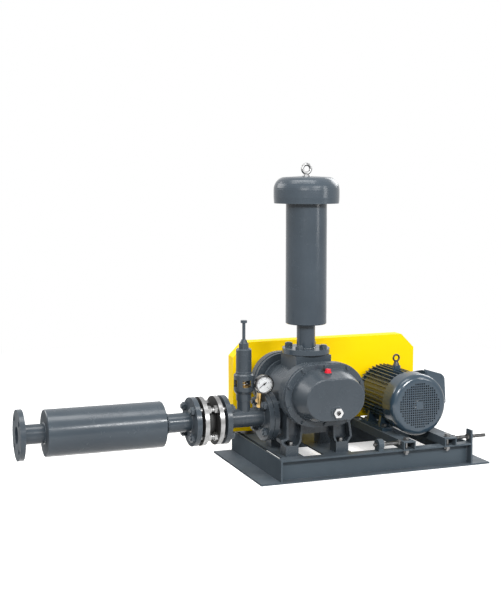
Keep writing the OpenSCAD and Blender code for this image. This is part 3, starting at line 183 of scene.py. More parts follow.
def buildEnamel():
    # paint that fades in broad patches; its edges are lighter, partly wear and partly painted highlight;
    # faces that look up take the dust colour, partly dust and partly painted highlight; its end faces can be
    # dull and painted darker, as painted shade
    inputs = [
        ("Colour", "Color", (0.08, 0.1, 0.12, 1.0)), ("Faded Colour", "Color", (0.1, 0.12, 0.14, 1.0)),
        ("Bare And Glint Colour", "Color", (0.3, 0.3, 0.3, 1.0)), ("Dust And Sheen Colour", "Color", (0.4, 0.38, 0.34, 1.0)),
        ("Ends Shade Colour", "Color", (0.020, 0.026, 0.032, 1.0)), ("Grain Scale", "Float", 300.0),
        ("Dullness", "Float", 0.35), ("Wear And Glint", "Float", 0.4), ("Dust And Sheen", "Float", 0.2),
        ("Dull And Shaded Ends", "Float", 0.0),
    ]
    tree, given, out = newGroup("enamel", inputs, skinOutputs)
    place = objectPlace(tree)
    broad = noise(tree, place, 5.0, 4.0, 0.55)
    peel = noise(tree, place, given["Grain Scale"], 2.0, 0.45)
    wearAndGlint = placeGroup(tree, edgeWearAndGlint, {"Amount": given["Wear And Glint"]})["Mask"]
    dustAndSheen = placeGroup(tree, settledDustAndSheen, {"Amount": given["Dust And Sheen"]})["Mask"]
    shadedEnds = placeGroup(tree, endFaces, {"Amount": given["Dull And Shaded Ends"]})["Mask"]
    colour = mixColour(tree, remap(tree, broad, 0.3, 0.75), given["Colour"], given["Faded Colour"])
    # lighter edges: wear, and on the cast paint a painted highlight
    colour = mixColour(tree, wearAndGlint, colour, given["Bare And Glint Colour"])
    # faces that look up take the dust colour: dust, and on the frame a painted highlight
    colour = mixColour(tree, dustAndSheen, colour, given["Dust And Sheen Colour"])
    # end faces painted darker: painted shade
    colour = mixColour(tree, calc(tree, "MULTIPLY", shadedEnds, 0.3), colour, given["Ends Shade Colour"])
    feed(tree, colour, out["Color"])
    smear = noise(tree, place, 22.0, 5.0, 0.65)
    rough = calc(tree, "ADD", given["Dullness"], remap(tree, smear, 0.3, 0.75, -0.06, 0.12))
    rough = calc(tree, "ADD", rough, calc(tree, "MULTIPLY", dustAndSheen, 0.4), True)
    rough = calc(tree, "ADD", rough, calc(tree, "MULTIPLY", shadedEnds, 0.5), True)
    feed(tree, rough, out["Roughness"])
    feed(tree, calc(tree, "SUBTRACT", peel, calc(tree, "MULTIPLY", wearAndGlint, 0.8)), out["Height"])
    return tree


def buildPlating():
    # metal with cloudy patches, small spots and fine streaks across its height
    inputs = [
        ("Colour", "Color", (0.7, 0.7, 0.72, 1.0)), ("Shade Colour", "Color", (0.5, 0.5, 0.5, 1.0)),
        ("Dullness", "Float", 0.3), ("Streak Scale", "Float", 60.0), ("Streak", "Float", 0.1),
    ]
    tree, given, out = newGroup("plating", inputs, skinOutputs)
    place = objectPlace(tree)
    cloud = noise(tree, place, 35.0, 4.0, 0.6)
    spots = remap(tree, noise(tree, place, 240.0, 3.0, 0.6), 0.60, 0.75)
    colour = mixColour(tree, remap(tree, cloud, 0.3, 0.7), given["Colour"], given["Shade Colour"])
    colour = mixColour(tree, calc(tree, "MULTIPLY", spots, 0.35), colour, given["Shade Colour"])
    feed(tree, colour, out["Color"])
    stretched = addNode(tree, "VectorMath", {"operation": "MULTIPLY"}, {0: place, 1: (1.0, 1.0, 14.0)})
    streaks = noise(tree, stretched.outputs[0], given["Streak Scale"], 3.0, 0.6)
    streaked = calc(tree, "MULTIPLY", calc(tree, "SUBTRACT", streaks, 0.5), given["Streak"])
    rough = calc(tree, "ADD", given["Dullness"], remap(tree, cloud, 0.3, 0.7, -0.05, 0.1))
    feed(tree, calc(tree, "ADD", rough, streaked, True), out["Roughness"])
    feed(tree, calc(tree, "ADD", streaks, calc(tree, "MULTIPLY", spots, -0.5)), out["Height"])
    return tree


def buildMoulded():
    # rubber, plastic, felt or board with a pale bloom in patches
    inputs = [
        ("Colour", "Color", (0.02, 0.02, 0.02, 1.0)), ("Bloom Colour", "Color", (0.05, 0.05, 0.05, 1.0)),
        ("Dullness", "Float", 0.5), ("Grain Scale", "Float", 500.0), ("Bloom", "Float", 0.4),
    ]
    tree, given, out = newGroup("moulded", inputs, skinOutputs)
    place = objectPlace(tree)
    bloom = remap(tree, noise(tree, place, 30.0, 5.0, 0.65), 0.35, 0.7)
    pale = calc(tree, "MULTIPLY", bloom, given["Bloom"])
    feed(tree, mixColour(tree, pale, given["Colour"], given["Bloom Colour"]), out["Color"])
    rough = calc(tree, "ADD", given["Dullness"], remap(tree, bloom, 0.0, 1.0, -0.05, 0.12), True)
    feed(tree, rough, out["Roughness"])
    feed(tree, noise(tree, place, given["Grain Scale"], 2.0), out["Height"])
    return tree


edgeWearAndGlint = buildEdgeWearAndGlint()
settledDustAndSheen = buildDustAndSheen()
endFaces = buildEndFaces()
enamel = buildEnamel()
plating = buildPlating()
moulded = buildMoulded()
print("shared effects built")


def newMaterial(name, shader):
    material = bpy.data.materials.new(name)
    material.use_nodes = True
    tree = material.node_tree
    surface = tree.nodes["Principled BSDF"]
    for key, value in shader.items():
        surface.inputs[key].default_value = value
    return material, tree, surface


def addRelief(tree, surface, height, strength, distance):
    relief = addNode(tree, "Bump", None, {"Strength": strength, "Distance": distance, "Height": height})
    feed(tree, relief.outputs[0], surface.inputs["Normal"])


def skinMaterial(name, group, values, shader, bump):
    material, tree, surface = newMaterial(name, shader)
    skin = placeGroup(tree, group, values)
    feed(tree, skin["Color"], surface.inputs["Base Color"])
    feed(tree, skin["Roughness"], surface.inputs["Roughness"])
    addRelief(tree, surface, skin["Height"], *bump)
    return material


def grey(value, warm=0.0):
    return (value + warm, value, value - warm, 1.0)


# Dullness is the plain roughness, and the last pair is the strength and depth of the grain
# the cast paint's pale edge colour and strong edge mask are partly wear and partly a painted highlight along
# the rims; its darker end faces are painted shade
castCoat = {
    "Colour": (0.036, 0.047, 0.058, 1.0), "Faded Colour": (0.052, 0.065, 0.078, 1.0),
    "Bare And Glint Colour": (0.30, 0.34, 0.38, 1.0), "Dust And Sheen Colour": (0.13, 0.14, 0.14, 1.0),
    "Grain Scale": 420.0, "Dullness": 0.24, "Wear And Glint": 0.85, "Dust And Sheen": 0.12, "Dull And Shaded Ends": 0.4,
}
castPaint = skinMaterial("castPaint", enamel, castCoat, {"Specular IOR Level": 0.3}, (0.30, 0.0005))
sheetCoat = {
    "Colour": (0.038, 0.051, 0.065, 1.0), "Faded Colour": (0.050, 0.066, 0.082, 1.0),
    "Bare And Glint Colour": (0.22, 0.25, 0.27, 1.0), "Dust And Sheen Colour": (0.14, 0.15, 0.15, 1.0),
    "Grain Scale": 260.0, "Dullness": 0.20, "Wear And Glint": 0.40, "Dust And Sheen": 0.10,
}
sheetPaint = skinMaterial("sheetPaint", enamel, sheetCoat, {"Specular IOR Level": 0.35}, (0.05, 0.0003))
# the pipe line's flanges and end caps are dull and painted darker on their flat faces, as painted shade
linePaint = skinMaterial("linePaint", enamel, {**sheetCoat, "Dull And Shaded Ends": 1.0}, {"Specular IOR Level": 0.35},
                         (0.05, 0.0003))
# the frame's pale blue-grey on faces that look up is partly dust and partly a painted highlight on the flange
# tops; its darker end faces are painted shade
framePaint = skinMaterial("framePaint", enamel, {
    "Colour": (0.046, 0.063, 0.078, 1.0), "Faded Colour": (0.062, 0.082, 0.100, 1.0),
    "Bare And Glint Colour": (0.22, 0.25, 0.28, 1.0), "Dust And Sheen Colour": (0.16, 0.18, 0.20, 1.0),
    "Grain Scale": 230.0, "Dullness": 0.44, "Wear And Glint": 0.60, "Dust And Sheen": 0.45, "Dull And Shaded Ends": 0.9,
}, {"Specular IOR Level": 0.25}, (0.10, 0.0004))
motorPaint = skinMaterial("motorPaint", enamel, {
    "Colour": (0.026, 0.048, 0.070, 1.0), "Faded Colour": (0.038, 0.063, 0.088, 1.0),
    "Bare And Glint Colour": (0.22, 0.25, 0.28, 1.0), "Dust And Sheen Colour": (0.13, 0.13, 0.12, 1.0),
    "Grain Scale": 300.0, "Dullness": 0.11, "Wear And Glint": 0.35, "Dust And Sheen": 0.08,
}, {"Specular IOR Level": 0.5}, (0.04, 0.0003))
guardPaint = skinMaterial("guardPaint", enamel, {
    "Colour": (0.98, 0.64, 0.0, 1.0), "Faded Colour": (1.0, 0.69, 0.0, 1.0),
    "Bare And Glint Colour": (0.62, 0.36, 0.0, 1.0), "Dust And Sheen Colour": (0.84, 0.64, 0.08, 1.0),
    "Grain Scale": 240.0, "Dullness": 0.45, "Wear And Glint": 0.5, "Dust And Sheen": 0.10,
}, {"Specular IOR Level": 0.12}, (0.08, 0.0005))
zincCoat = {
    "Colour": grey(0.36), "Shade Colour": grey(0.20), "Dullness": 0.30, "Streak Scale": 50.0, "Streak": 0.12,
}
zincPlate = skinMaterial("zincPlate", plating, zincCoat, {"Metallic": 1.0}, (0.06, 0.0003))
dullZinc = skinMaterial("dullZinc", plating, {
    "Colour": grey(0.24), "Shade Colour": grey(0.12), "Dullness": 0.32, "Streak Scale": 50.0, "Streak": 0.14,
}, {"Metallic": 1.0}, (0.08, 0.0003))
bareSteel = skinMaterial("bareSteel", plating, {
    "Colour": grey(0.56), "Shade Colour": grey(0.42), "Dullness": 0.28, "Streak Scale": 80.0, "Streak": 0.2,
}, {"Metallic": 1.0}, (0.08, 0.0003))
darkSteel = skinMaterial("darkSteel", plating, {
    "Colour": grey(0.07), "Shade Colour": grey(0.04), "Dullness": 0.38, "Streak Scale": 60.0, "Streak": 0.12,
}, {"Metallic": 0.8}, (0.08, 0.0003))
chromePlate = skinMaterial("chromePlate", plating, {
    "Colour": grey(0.52), "Shade Colour": grey(0.36), "Dullness": 0.18, "Streak Scale": 40.0, "Streak": 0.04,
}, {"Metallic": 1.0}, (0.02, 0.0002))
gaugeSteel = skinMaterial("gaugeSteel", plating, {
    "Colour": grey(0.20), "Shade Colour": grey(0.12), "Dullness": 0.22, "Streak Scale": 70.0, "Streak": 0.15,
}, {"Metallic": 1.0}, (0.04, 0.0003))
castBrass = skinMaterial("castBrass", plating, {
    "Colour": (0.62, 0.43, 0.17, 1.0), "Shade Colour": (0.40, 0.26, 0.10, 1.0), "Dullness": 0.34,
    "Streak Scale": 60.0, "Streak": 0.15,
}, {"Metallic": 1.0}, (0.08, 0.0003))
blackRubber = skinMaterial("blackRubber", moulded, {
    "Colour": grey(0.014), "Bloom Colour": grey(0.045), "Dullness": 0.52, "Grain Scale": 420.0, "Bloom": 0.5,
}, {"Specular IOR Level": 0.4}, (0.2, 0.0004))
gasketBoard = skinMaterial("gasketBoard", moulded, {
    "Colour": grey(0.03), "Bloom Colour": grey(0.07), "Dullness": 0.7, "Grain Scale": 700.0, "Bloom": 0.6,
}, {"Specular IOR Level": 0.3}, (0.3, 0.0004))
blackPlastic = skinMaterial("blackPlastic", moulded, {
    "Colour": grey(0.009), "Bloom Colour": grey(0.018), "Dullness": 0.5, "Grain Scale": 500.0, "Bloom": 0.3,
}, {"Specular IOR Level": 0.2}, (0.08, 0.0003))
redCap = {
    "Colour": (0.60, 0.004, 0.020, 1.0), "Bloom Colour": (0.68, 0.02, 0.04, 1.0), "Dullness": 0.26,
    "Grain Scale": 500.0, "Bloom": 0.3,
}
blackPlug = {
    "Colour": grey(0.016), "Bloom Colour": grey(0.03), "Dullness": 0.4, "Grain Scale": 500.0, "Bloom": 0.3,
}
dialEnamel = skinMaterial("dialEnamel", moulded, {
    "Colour": grey(0.84), "Bloom Colour": grey(0.80), "Dullness": 0.4, "Grain Scale": 900.0, "Bloom": 0.4,
}, {"Specular IOR Level": 0.4}, (0.03, 0.0002))
filterFelt = skinMaterial("filterFelt", moulded, {
    "Colour": grey(0.55, 0.04), "Bloom Colour": grey(0.42, 0.05), "Dullness": 0.85, "Grain Scale": 1400.0,
    "Bloom": 0.8,
}, {"Specular IOR Level": 0.1, "Sheen Weight": 0.3}, (0.8, 0.001))


def buildGlass():
    material, tree, surface = newMaterial("gaugeGlass", {
        "Base Color": (0.97, 0.99, 1.0, 1.0), "Transmission Weight": 1.0, "IOR": 1.45, "Roughness": 0.02,
    })
    smear = noise(tree, objectPlace(tree), 60.0, 4.0, 0.6)
    feed(tree, remap(tree, smear, 0.4, 0.8, 0.01, 0.06), surface.inputs["Roughness"])
    clear = addNode(tree, "BsdfTransparent")
    path = addNode(tree, "LightPath")
    seen = calc(tree, "MAXIMUM", path.outputs["Is Shadow Ray"], path.outputs["Is Diffuse Ray"])
    mix = addNode(tree, "MixShader", None, {0: seen, 1: surface.outputs[0], 2: clear.outputs[0]})
    feed(tree, mix.outputs[0], tree.nodes["Material Output"].inputs["Surface"])
    return material


gaugeGlass = buildGlass()


# painted shade colour for the rings' flat faces, and the dullness added there
ringShadedFaces = {"colour": grey(0.06), "dull": 0.4}


def buildRingZinc():
    # the rings' flat faces are painted darker, as painted shade, and made duller; their rims keep the bright
    # zinc
    material = skinMaterial("ringZinc", plating, zincCoat, {"Metallic": 1.0}, (0.06, 0.0003))
    tree = material.node_tree
    surface = tree.nodes["Principled BSDF"].inputs
    base, rough = surface["Base Color"], surface["Roughness"]
    shadedEnds = placeGroup(tree, endFaces)["Mask"]
    # painted shade: the flat faces take a dark colour
    feed(tree, mixColour(tree, shadedEnds, base.links[0].from_socket, ringShadedFaces["colour"]), base)
    added = calc(tree, "MULTIPLY", shadedEnds, ringShadedFaces["dull"])
    feed(tree, calc(tree, "ADD", rough.links[0].from_socket, added, True), rough)
    return material


ringZinc = buildRingZinc()


def splitMaterial(name, within, beyond, axis, centre, reach):
    # two finishes on one node, each as (group, values, metallic): one within reach of a plane, one beyond it
    material, tree, surface = newMaterial(name, {"Specular IOR Level": 0.35})
    along = addNode(tree, "SeparateXYZ", None, {0: objectPlace(tree)}).outputs[axis]
    away = calc(tree, "ABSOLUTE", calc(tree, "SUBTRACT", along, centre))
    side = calc(tree, "GREATER_THAN", away, reach)
    near, far = [placeGroup(tree, *skin[:2]) for skin in (within, beyond)]
    feed(tree, mixColour(tree, side, near["Color"], far["Color"]), surface.inputs["Base Color"])
    mixed = {}
    for label in ("Roughness", "Height"):
        sockets = {0: side, 2: near[label], 3: far[label]}
        mixed[label] = addNode(tree, "Mix", {"data_type": "FLOAT"}, sockets).outputs[0]
    feed(tree, mixed["Roughness"], surface.inputs["Roughness"])
    addRelief(tree, surface, mixed["Height"], 0.08, 0.0003)
    if within[2] != beyond[2]:
        feed(tree, remap(tree, side, 0.0, 1.0, within[2], beyond[2]), surface.inputs["Metallic"])
    return material


# bolts and nuts are bright between the two flanges of the rubber joint and painted over elsewhere
jointLow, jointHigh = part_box("flex_rubber")
lineBolts = splitMaterial("lineBolts", (plating, zincCoat, 1.0), (enamel, castCoat, 0.0),
                          "X", (jointLow.x + jointHigh.x) / 2, (jointHigh.x - jointLow.x) / 2)
# the front one of the two plugs is the red one
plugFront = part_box("oil_filler_plugs")[0].y
plugDepth = 0.019
fillerPlugs = splitMaterial("fillerPlugs", (moulded, redCap, 0.0), (moulded, blackPlug, 0.0),
                            "Y", plugFront, plugDepth)

finishes = {
    castPaint: "rotor_casing gear_side_plate drive_side_plate gear_cover bearing_cover relief_body "
               "relief_bonnet relief_lock_nut casing_screws discharge_tee",
    sheetPaint: "inlet_silencer inlet_cap relief_spindle",
    linePaint: "discharge_silencer",
    framePaint: "front_rail rear_rail left_end_angle right_end_angle cross_channels tension_lugs "
                "motor_beams",
    motorPaint: "motor_frame motor_end_shields fan_cowl terminal_box",
    guardPaint: "belt_guard",
    zincPlate: "lifting_eye",
    ringZinc: "flex_rings",
    dullZinc: "foot_bolts motor_bolts clamp_bolts tension_rods tension_nuts",
    lineBolts: "flange_bolts",
    fillerPlugs: "oil_filler_plugs",
    bareSteel: "drive_rotor driven_rotor drive_timing_gear driven_timing_gear rotor_bearings motor_rotor "
               "relief_spring",
    darkSteel: "motor_eyebolt blower_pulley motor_pulley",
    chromePlate: "oil_sight_glass",
    gaugeSteel: "gauge_case",
    castBrass: "gauge_cock cock_handle relief_disc",
    blackRubber: "flex_rubber v_belts",
    gasketBoard: "port_gaskets",
    blackPlastic: "motor_fan gauge_needle",
    dialEnamel: "gauge_dial",
    filterFelt: "inlet_filter",
    gaugeGlass: "gauge_lens sight_glass_lens",
}
for material, names in finishes.items():
    for name in names.split():
        for matSlot in nodes[name].material_slots:
            matSlot.material = material
print("finishes assigned")


# mesh helpers: a shape is a pair of points and faces

def addPiece(name, shape, material, body, smooth=True, autoAngle=None):
    # edges sharper than autoAngle, in radians, stay crisp
    verts, faces = shape
    mesh = bpy.data.meshes.new(name)
    mesh.from_pydata([tuple(v) for v in verts], [], faces)
    mesh.update()
    piece = bpy.data.objects.new(name, mesh)
    scene.collection.objects.link(piece)
    mesh.materials.append(material)
    bm = bmesh.new()
    bm.from_mesh(mesh)
    bmesh.ops.remove_doubles(bm, verts=bm.verts, dist=1e-7)  # joins points that coincide
    bmesh.ops.recalc_face_normals(bm, faces=bm.faces)
    if autoAngle is not None:
        for edge in bm.edges:
            if len(edge.link_faces) == 2 and edge.calc_face_angle(0.0) > autoAngle:
                edge.smooth = False
    for face in bm.faces:
        face.smooth = smooth
    bm.to_mesh(mesh)
    bm.free()
    if body is not None:
        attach(piece, body)
    return piece


def roundAngles(count):
    return [2 * math.pi * i / count for i in range(count)]


def joinRings(rings, looped):
    # skin over rings of points in order, looped round or with a cap at each end
    count, sides = len(rings), len(rings[0])
    verts = [v for ring in rings for v in ring]
    faces = []
    for i in range(count if looped else count - 1):
        a, b = i * sides, (i + 1) % count * sides
        faces += [(a + k, b + k, b + (k + 1) % sides, a + (k + 1) % sides) for k in range(sides)]
    if not looped:
        faces += [tuple(range(sides)), tuple((count - 1) * sides + k for k in range(sides - 1, -1, -1))]
    return verts, faces


def lathe(profile, steps):
    # closed profile of (radius, along) pairs turned about Z
    rings = [[(r * math.cos(a), r * math.sin(a), z) for r, z in profile] for a in roundAngles(steps)]
    return joinRings(rings, True)


def placed(shape, place, axis):
    # a shape built along Z, turned to the axis and moved to its place
    verts, faces = shape
    turn = Vector((0, 0, 1)).rotation_difference(Vector(axis)).to_matrix().to_4x4()
    matrix = Matrix.Translation(Vector(place)) @ turn
    return [matrix @ Vector(v) for v in verts], faces


def combine(shapes):
    verts, faces = [], []
    for shapeVerts, shapeFaces in shapes:
        base = len(verts)
        verts += shapeVerts
        faces += [tuple(i + base for i in face) for face in shapeFaces]
    return verts, faces


# pressure gauge face

gaugeMarks = {
    "radius": 0.0245, "from": 225.0, "sweep": 270.0, "lift": 0.0002,
    "numbers": 6, "numberStep": 2, "between": 5,
    "longMark": (0.0048, 0.00045), "shortMark": (0.0028, 0.00022),
    "arcSteps": 60, "arcWidth": 0.0004, "text": 0.0052, "textInset": 0.0085,
}


def dialAngle(i, count):
    return math.radians(gaugeMarks["from"] - gaugeMarks["sweep"] * i / count)


def numberOutline(text):
    # flat outline of a number, taken from a text curve that is then removed
    curve = bpy.data.curves.new("dialNumber", "FONT")
    curve.body = text
    curve.size = gaugeMarks["text"]
    curve.align_x = curve.align_y = "CENTER"
    holder = bpy.data.objects.new("dialNumber", curve)
    scene.collection.objects.link(holder)
    bpy.context.view_layer.update()
    flat = bpy.data.meshes.new_from_object(holder)
    points = [(v.co.x, v.co.y) for v in flat.vertices]
    faces = [tuple(face.vertices) for face in flat.polygons]
    bpy.data.objects.remove(holder)
    bpy.data.curves.remove(curve)
    bpy.data.meshes.remove(flat)
    return points, faces


def buildDialMarks():
    low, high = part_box("gauge_dial")
    centre = (low + high) / 2
    front = low.y - gaugeMarks["lift"]
    r, arcSteps = gaugeMarks["radius"], gaugeMarks["arcSteps"]
    quad = [(0, 1, 2, 3)]
    flats = []  # points right and up of the dial's centre, with their faces
    steps = (gaugeMarks["numbers"] - 1) * gaugeMarks["between"]
    for i in range(steps + 1):
        angle = dialAngle(i, steps)
        c, s = math.cos(angle), math.sin(angle)
        length, half = gaugeMarks["shortMark" if i % gaugeMarks["between"] else "longMark"]
        corners = ((r - length, -half), (r, -half), (r, half), (r - length, half))
        flats.append(([(q * c - w * s, q * s + w * c) for q, w in corners], quad))
    rim = r + gaugeMarks["arcWidth"]
    for i in range(arcSteps):
        a0, a1 = dialAngle(i, arcSteps), dialAngle(i + 1, arcSteps)
        corners = ((a0, r), (a1, r), (a1, rim), (a0, rim))
        flats.append(([(q * math.cos(a), q * math.sin(a)) for a, q in corners], quad))
    for i in range(gaugeMarks["numbers"]):
        angle = dialAngle(i, gaugeMarks["numbers"] - 1)
        points, faces = numberOutline(str(gaugeMarks["numberStep"] * i))
        x0 = (r - gaugeMarks["textInset"]) * math.cos(angle)
        z0 = (r - gaugeMarks["textInset"]) * math.sin(angle)
        flats.append(([(x0 + x, z0 + z) for x, z in points], faces))
    shapes = []
    for points, faces in flats:
        shapes.append(([(centre.x + x, front, centre.z + z) for x, z in points], faces))
    addPiece("dialMarks", combine(shapes), blackPlastic, "skid", smooth=False)


buildDialMarks()
print("gauge face marked")


# weld beads

weld = {
    "width": 0.0032, "frameWidth": 0.0024, "sides": 8,
    "step": 0.0016, "lineStep": 0.002, "leastSteps": 60, "leastLineSteps": 6,
    "ripple": 0.0019, "rippleSize": 0.13,
    "drift": 7, "driftSize": 0.06,  # slow swells round a pipe
    "taper": 0.35,
}


def ringBead(place, axis, radius):
    # rippled bead round a pipe
    count = max(weld["leastSteps"], int(2 * math.pi * radius / weld["step"]))
    rings = []
    for a in roundAngles(count):
        ripple = weld["rippleSize"] * math.sin(a * radius / weld["ripple"])
        drift = weld["driftSize"] * math.sin(a * weld["drift"])
        swell = weld["width"] * (1.0 + ripple + drift)
        ring = []
        for b in roundAngles(weld["sides"]):
            r = radius + swell * math.cos(b)
            ring.append((r * math.cos(a), r * math.sin(a), swell * math.sin(b)))
        rings.append(ring)
    return placed(joinRings(rings, True), place, axis)


def lineBead(start, end):
    # rippled bead along a straight joint, thin at both ends
    start, end = Vector(start), Vector(end)
    run = end - start
    along = run.normalized()
    side = along.cross(Vector((0.3, 0.5, 0.81))).normalized()  # any direction that no bead follows
    up = along.cross(side)
    count = max(weld["leastLineSteps"], int(run.length / weld["lineStep"]))
    rings = []
    for i in range(count + 1):
        t = i / count
        ripple = weld["rippleSize"] * math.sin(t * run.length / weld["ripple"])
        swell = weld["frameWidth"] * (1.0 + ripple) * (weld["taper"] if i in (0, count) else 1.0)
        centre = start + run * t
        ring = []
        for b in roundAngles(weld["sides"]):
            ring.append(centre + side * swell * math.cos(b) + up * swell * math.sin(b))
        rings.append(ring)
    return joinRings(rings, False)


lineLow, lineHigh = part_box("discharge_silencer")
teeLow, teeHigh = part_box("discharge_tee")
pipe = {
    "y": (lineLow.y + lineHigh.y) / 2,
    "z": (lineLow.z + lineHigh.z) / 2,
    "radius": 0.03025,
    "flange": 0.016,
    "neckLeft": 0.084,  # from the line's left end to the silencer's shell
    "neckRight": 0.095,
    "inletNeckTop": 0.490,  # height over the floor
}


def buildPipeWelds():
    # beads behind each flange and where the necks meet the silencers' ends
    flange, radius = pipe["flange"], pipe["radius"]
    spots = [
        lineLow.x + flange, lineHigh.x - flange, lineLow.x + pipe["neckLeft"], lineHigh.x - pipe["neckRight"],
        teeLow.x + flange, teeHigh.x - flange,
    ]
    beads = [ringBead((x, pipe["y"], pipe["z"]), (1, 0, 0), radius) for x in spots]
    addPiece("pipeWelds", combine(beads), sheetPaint, "skid")
    low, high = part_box("inlet_silencer")
    x, y = (low.x + high.x) / 2, (low.y + high.y) / 2
    beads = [ringBead((x, y, z), (0, 0, 1), radius) for z in (low.z + flange, pipe["inletNeckTop"])]
    addPiece("neckWelds", combine(beads), sheetPaint, "skid")


rail = {
    "web": 0.005, "webWeld": (0.008, 0.068), "flangeWelds": (0.0695, 0.0055), "lip": 0.002,
    "corner": 0.006,
}


def buildFrameWelds():
    # beads where the rails' webs and the front rail's flanges meet the end angles
    low, high = rail["webWeld"]
    front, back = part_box("front_rail"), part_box("rear_rail")
    webs = (front[1].y - rail["web"], front[1].y, back[0].y + rail["web"])
    flangeFrom, flangeTo = front[0].y + rail["lip"], front[1].y - rail["corner"]
    beads = []
    for x in (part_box("left_end_angle")[1].x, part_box("right_end_angle")[0].x):
        beads += [lineBead((x, y, low), (x, y, high)) for y in webs]
        beads += [lineBead((x, flangeFrom, z), (x, flangeTo, z)) for z in rail["flangeWelds"]]
    addPiece("frameWelds", combine(beads), sheetPaint, "skid")


buildPipeWelds()
buildFrameWelds()
print("weld beads laid")


# rubber joint with one round arch

rubberJoint = {
    "bore": 0.0268, "boreBulge": 0.006, "boreSteps": 12,
    "collar": 0.0500, "collarLength": 0.011, "edge": 0.0002, "faceEdge": 0.0003,
    "neck": 0.0385, "ring": 0.014, "arch": 0.0485, "archShape": 0.8, "archSteps": 24, "steps": 72,
}


def buildRubberJoint():
    low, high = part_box("flex_rubber")
    length = high.x - low.x
    bore, neck, edge = rubberJoint["bore"], rubberJoint["neck"], rubberJoint["edge"]
    top, c = rubberJoint["collar"], rubberJoint["collarLength"]
    collar = [
        (bore, 0.0), (top - edge, 0.0), (top, rubberJoint["faceEdge"]),
        (top, c - edge), (top - edge, c), (neck, c),
    ]
    start = c + rubberJoint["ring"]
    arch = []
    for i in range(rubberJoint["archSteps"] + 1):
        t = i / rubberJoint["archSteps"]
        rise = math.sin(math.pi * t) ** rubberJoint["archShape"]
        arch.append((neck + (rubberJoint["arch"] - neck) * rise, start + (length - 2 * start) * t))
    outer = collar + arch + [(r, length - x) for r, x in reversed(collar)]
    inner = []
    for i in range(1, rubberJoint["boreSteps"]):
        t = i / rubberJoint["boreSteps"]
        inner.append((bore + rubberJoint["boreBulge"] * math.sin(math.pi * t), length * (1 - t)))
    shape = lathe(outer + inner, rubberJoint["steps"])
    shape = placed(shape, (low.x, (low.y + high.y) / 2, (low.z + high.z) / 2), (1, 0, 0))
    piece = addPiece("rubberJoint", shape, blackRubber, "skid", autoAngle=0.9)
    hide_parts("flex_rubber")


buildRubberJoint()
print("rubber joint turned")


# tension rods of the motor slide, with a cut thread and a hexagon at the beam

tensionRod = {
    "radius": 0.006, "pitch": 0.00175,
    "depth": 0.55, "crest": (0.30, 0.55), "foot": 0.85,  # parts of the pitch
    "collar": 0.010, "collarLength": 0.009, "chamfer": 0.0012, "steps": 20, "hair": 0.0001,
}


def threadedShank(length):
    # helical thread: a strip of root and crest points wound along Z round a plain core
    radius, pitch, steps, hair = [tensionRod[key] for key in ("radius", "pitch", "steps", "hair")]
    depth = pitch * tensionRod["depth"]
    rise, fall = tensionRod["crest"]
    profile = ((0.0, radius - depth), (rise, radius), (fall, radius), (tensionRod["foot"], radius - depth))
    turns = length / pitch
    total = int(turns * steps)
    verts, faces = [], []
    for i in range(total + 1):
        a = 2 * math.pi * i / steps
        base = length * i / total * (1 - 1 / turns)
        verts += [(r * math.cos(a), r * math.sin(a), base + u * pitch) for u, r in profile]
    for i in range(total):
        a, b = 4 * i, 4 * (i + 1)
        faces += [(a + k, b + k, b + k + 1, a + k + 1) for k in range(3)]
        if i + steps <= total:
            c = 4 * (i + steps)
            faces.append((a + 3, b + 3, min(c + 4, 4 * total), c))
    core = radius - depth - hair
    return combine([(verts, faces), lathe([(hair, 0.0), (core, 0.0), (core, length), (hair, length)], steps)])


def hexCollar():
    # hexagon standing on z = 0 with its far corners turned down
    corner, height, chamfer = tensionRod["collar"], tensionRod["collarLength"], tensionRod["chamfer"]
    profile = ((corner, 0.0), (corner, height - chamfer), (corner - chamfer, height))
    rings = [[(r * math.cos(a), r * math.sin(a), z) for a in roundAngles(6)] for r, z in profile]
    return joinRings(rings, False)


def buildTensionRods():
    low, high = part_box("tension_rods")
    beamLow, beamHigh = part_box("motor_beams")
    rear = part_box("rear_rail")
    z = (low.z + high.z) / 2
    parts = []
    for y in (0.0, (rear[0].y + rear[1].y) / 2):
        for inner, outer in ((beamLow.x, low.x), (beamHigh.x, high.x)):
            axis = (-1, 0, 0) if outer < inner else (1, 0, 0)
            for shape in (threadedShank(abs(outer - inner)), hexCollar()):
                parts.append(placed(shape, (inner, y, z), axis))
    piece = addPiece("tensionRods", combine(parts), dullZinc, "motor_carriage", autoAngle=0.7)
    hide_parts("tension_rods")


buildTensionRods()
print("tension rods threaded")


# the two V-belts

vBelt = {
    "pitch": 0.015,
    "groove": 0.008,  # from a pulley's rim down to the belt's inner line
    "height": 0.0076, "outer": 0.0060, "inner": 0.00425,  # outer and inner are half widths
    "corner": 0.0007, "flank": 0.0001, "arc": 36, "span": 28,
}


def beltPath():
    # inner line of a belt, as points in the plane of the pulleys with the way outwards at each
    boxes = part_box("blower_pulley"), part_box("motor_pulley")
    centres = [Vector(((low.x + high.x) / 2, (low.z + high.z) / 2)) for low, high in boxes]
    radii = [(high.x - low.x) / 2 - vBelt["groove"] for low, high in boxes]
    between = centres[1] - centres[0]
    tilt = math.atan2(between.y, between.x)
    wrap = math.acos((radii[0] - radii[1]) / between.length)
    turns = (centres[0], radii[0], wrap, 2 * math.pi - wrap), (centres[1], radii[1], -wrap, wrap)
    arcs = []
    for centre, radius, start, end in turns:
        angles = [tilt + start + (end - start) * i / vBelt["arc"] for i in range(vBelt["arc"] + 1)]
        outs = [Vector((math.cos(angle), math.sin(angle))) for angle in angles]
        arcs.append([(centre + out * radius, out) for out in outs])
    path = []
    for arc, follow in zip(arcs, reversed(arcs)):
        last, out = arc[-1]
        path += arc
        path += [(last.lerp(follow[0][0], i / vBelt["span"]), out) for i in range(1, vBelt["span"])]
    return path, centres


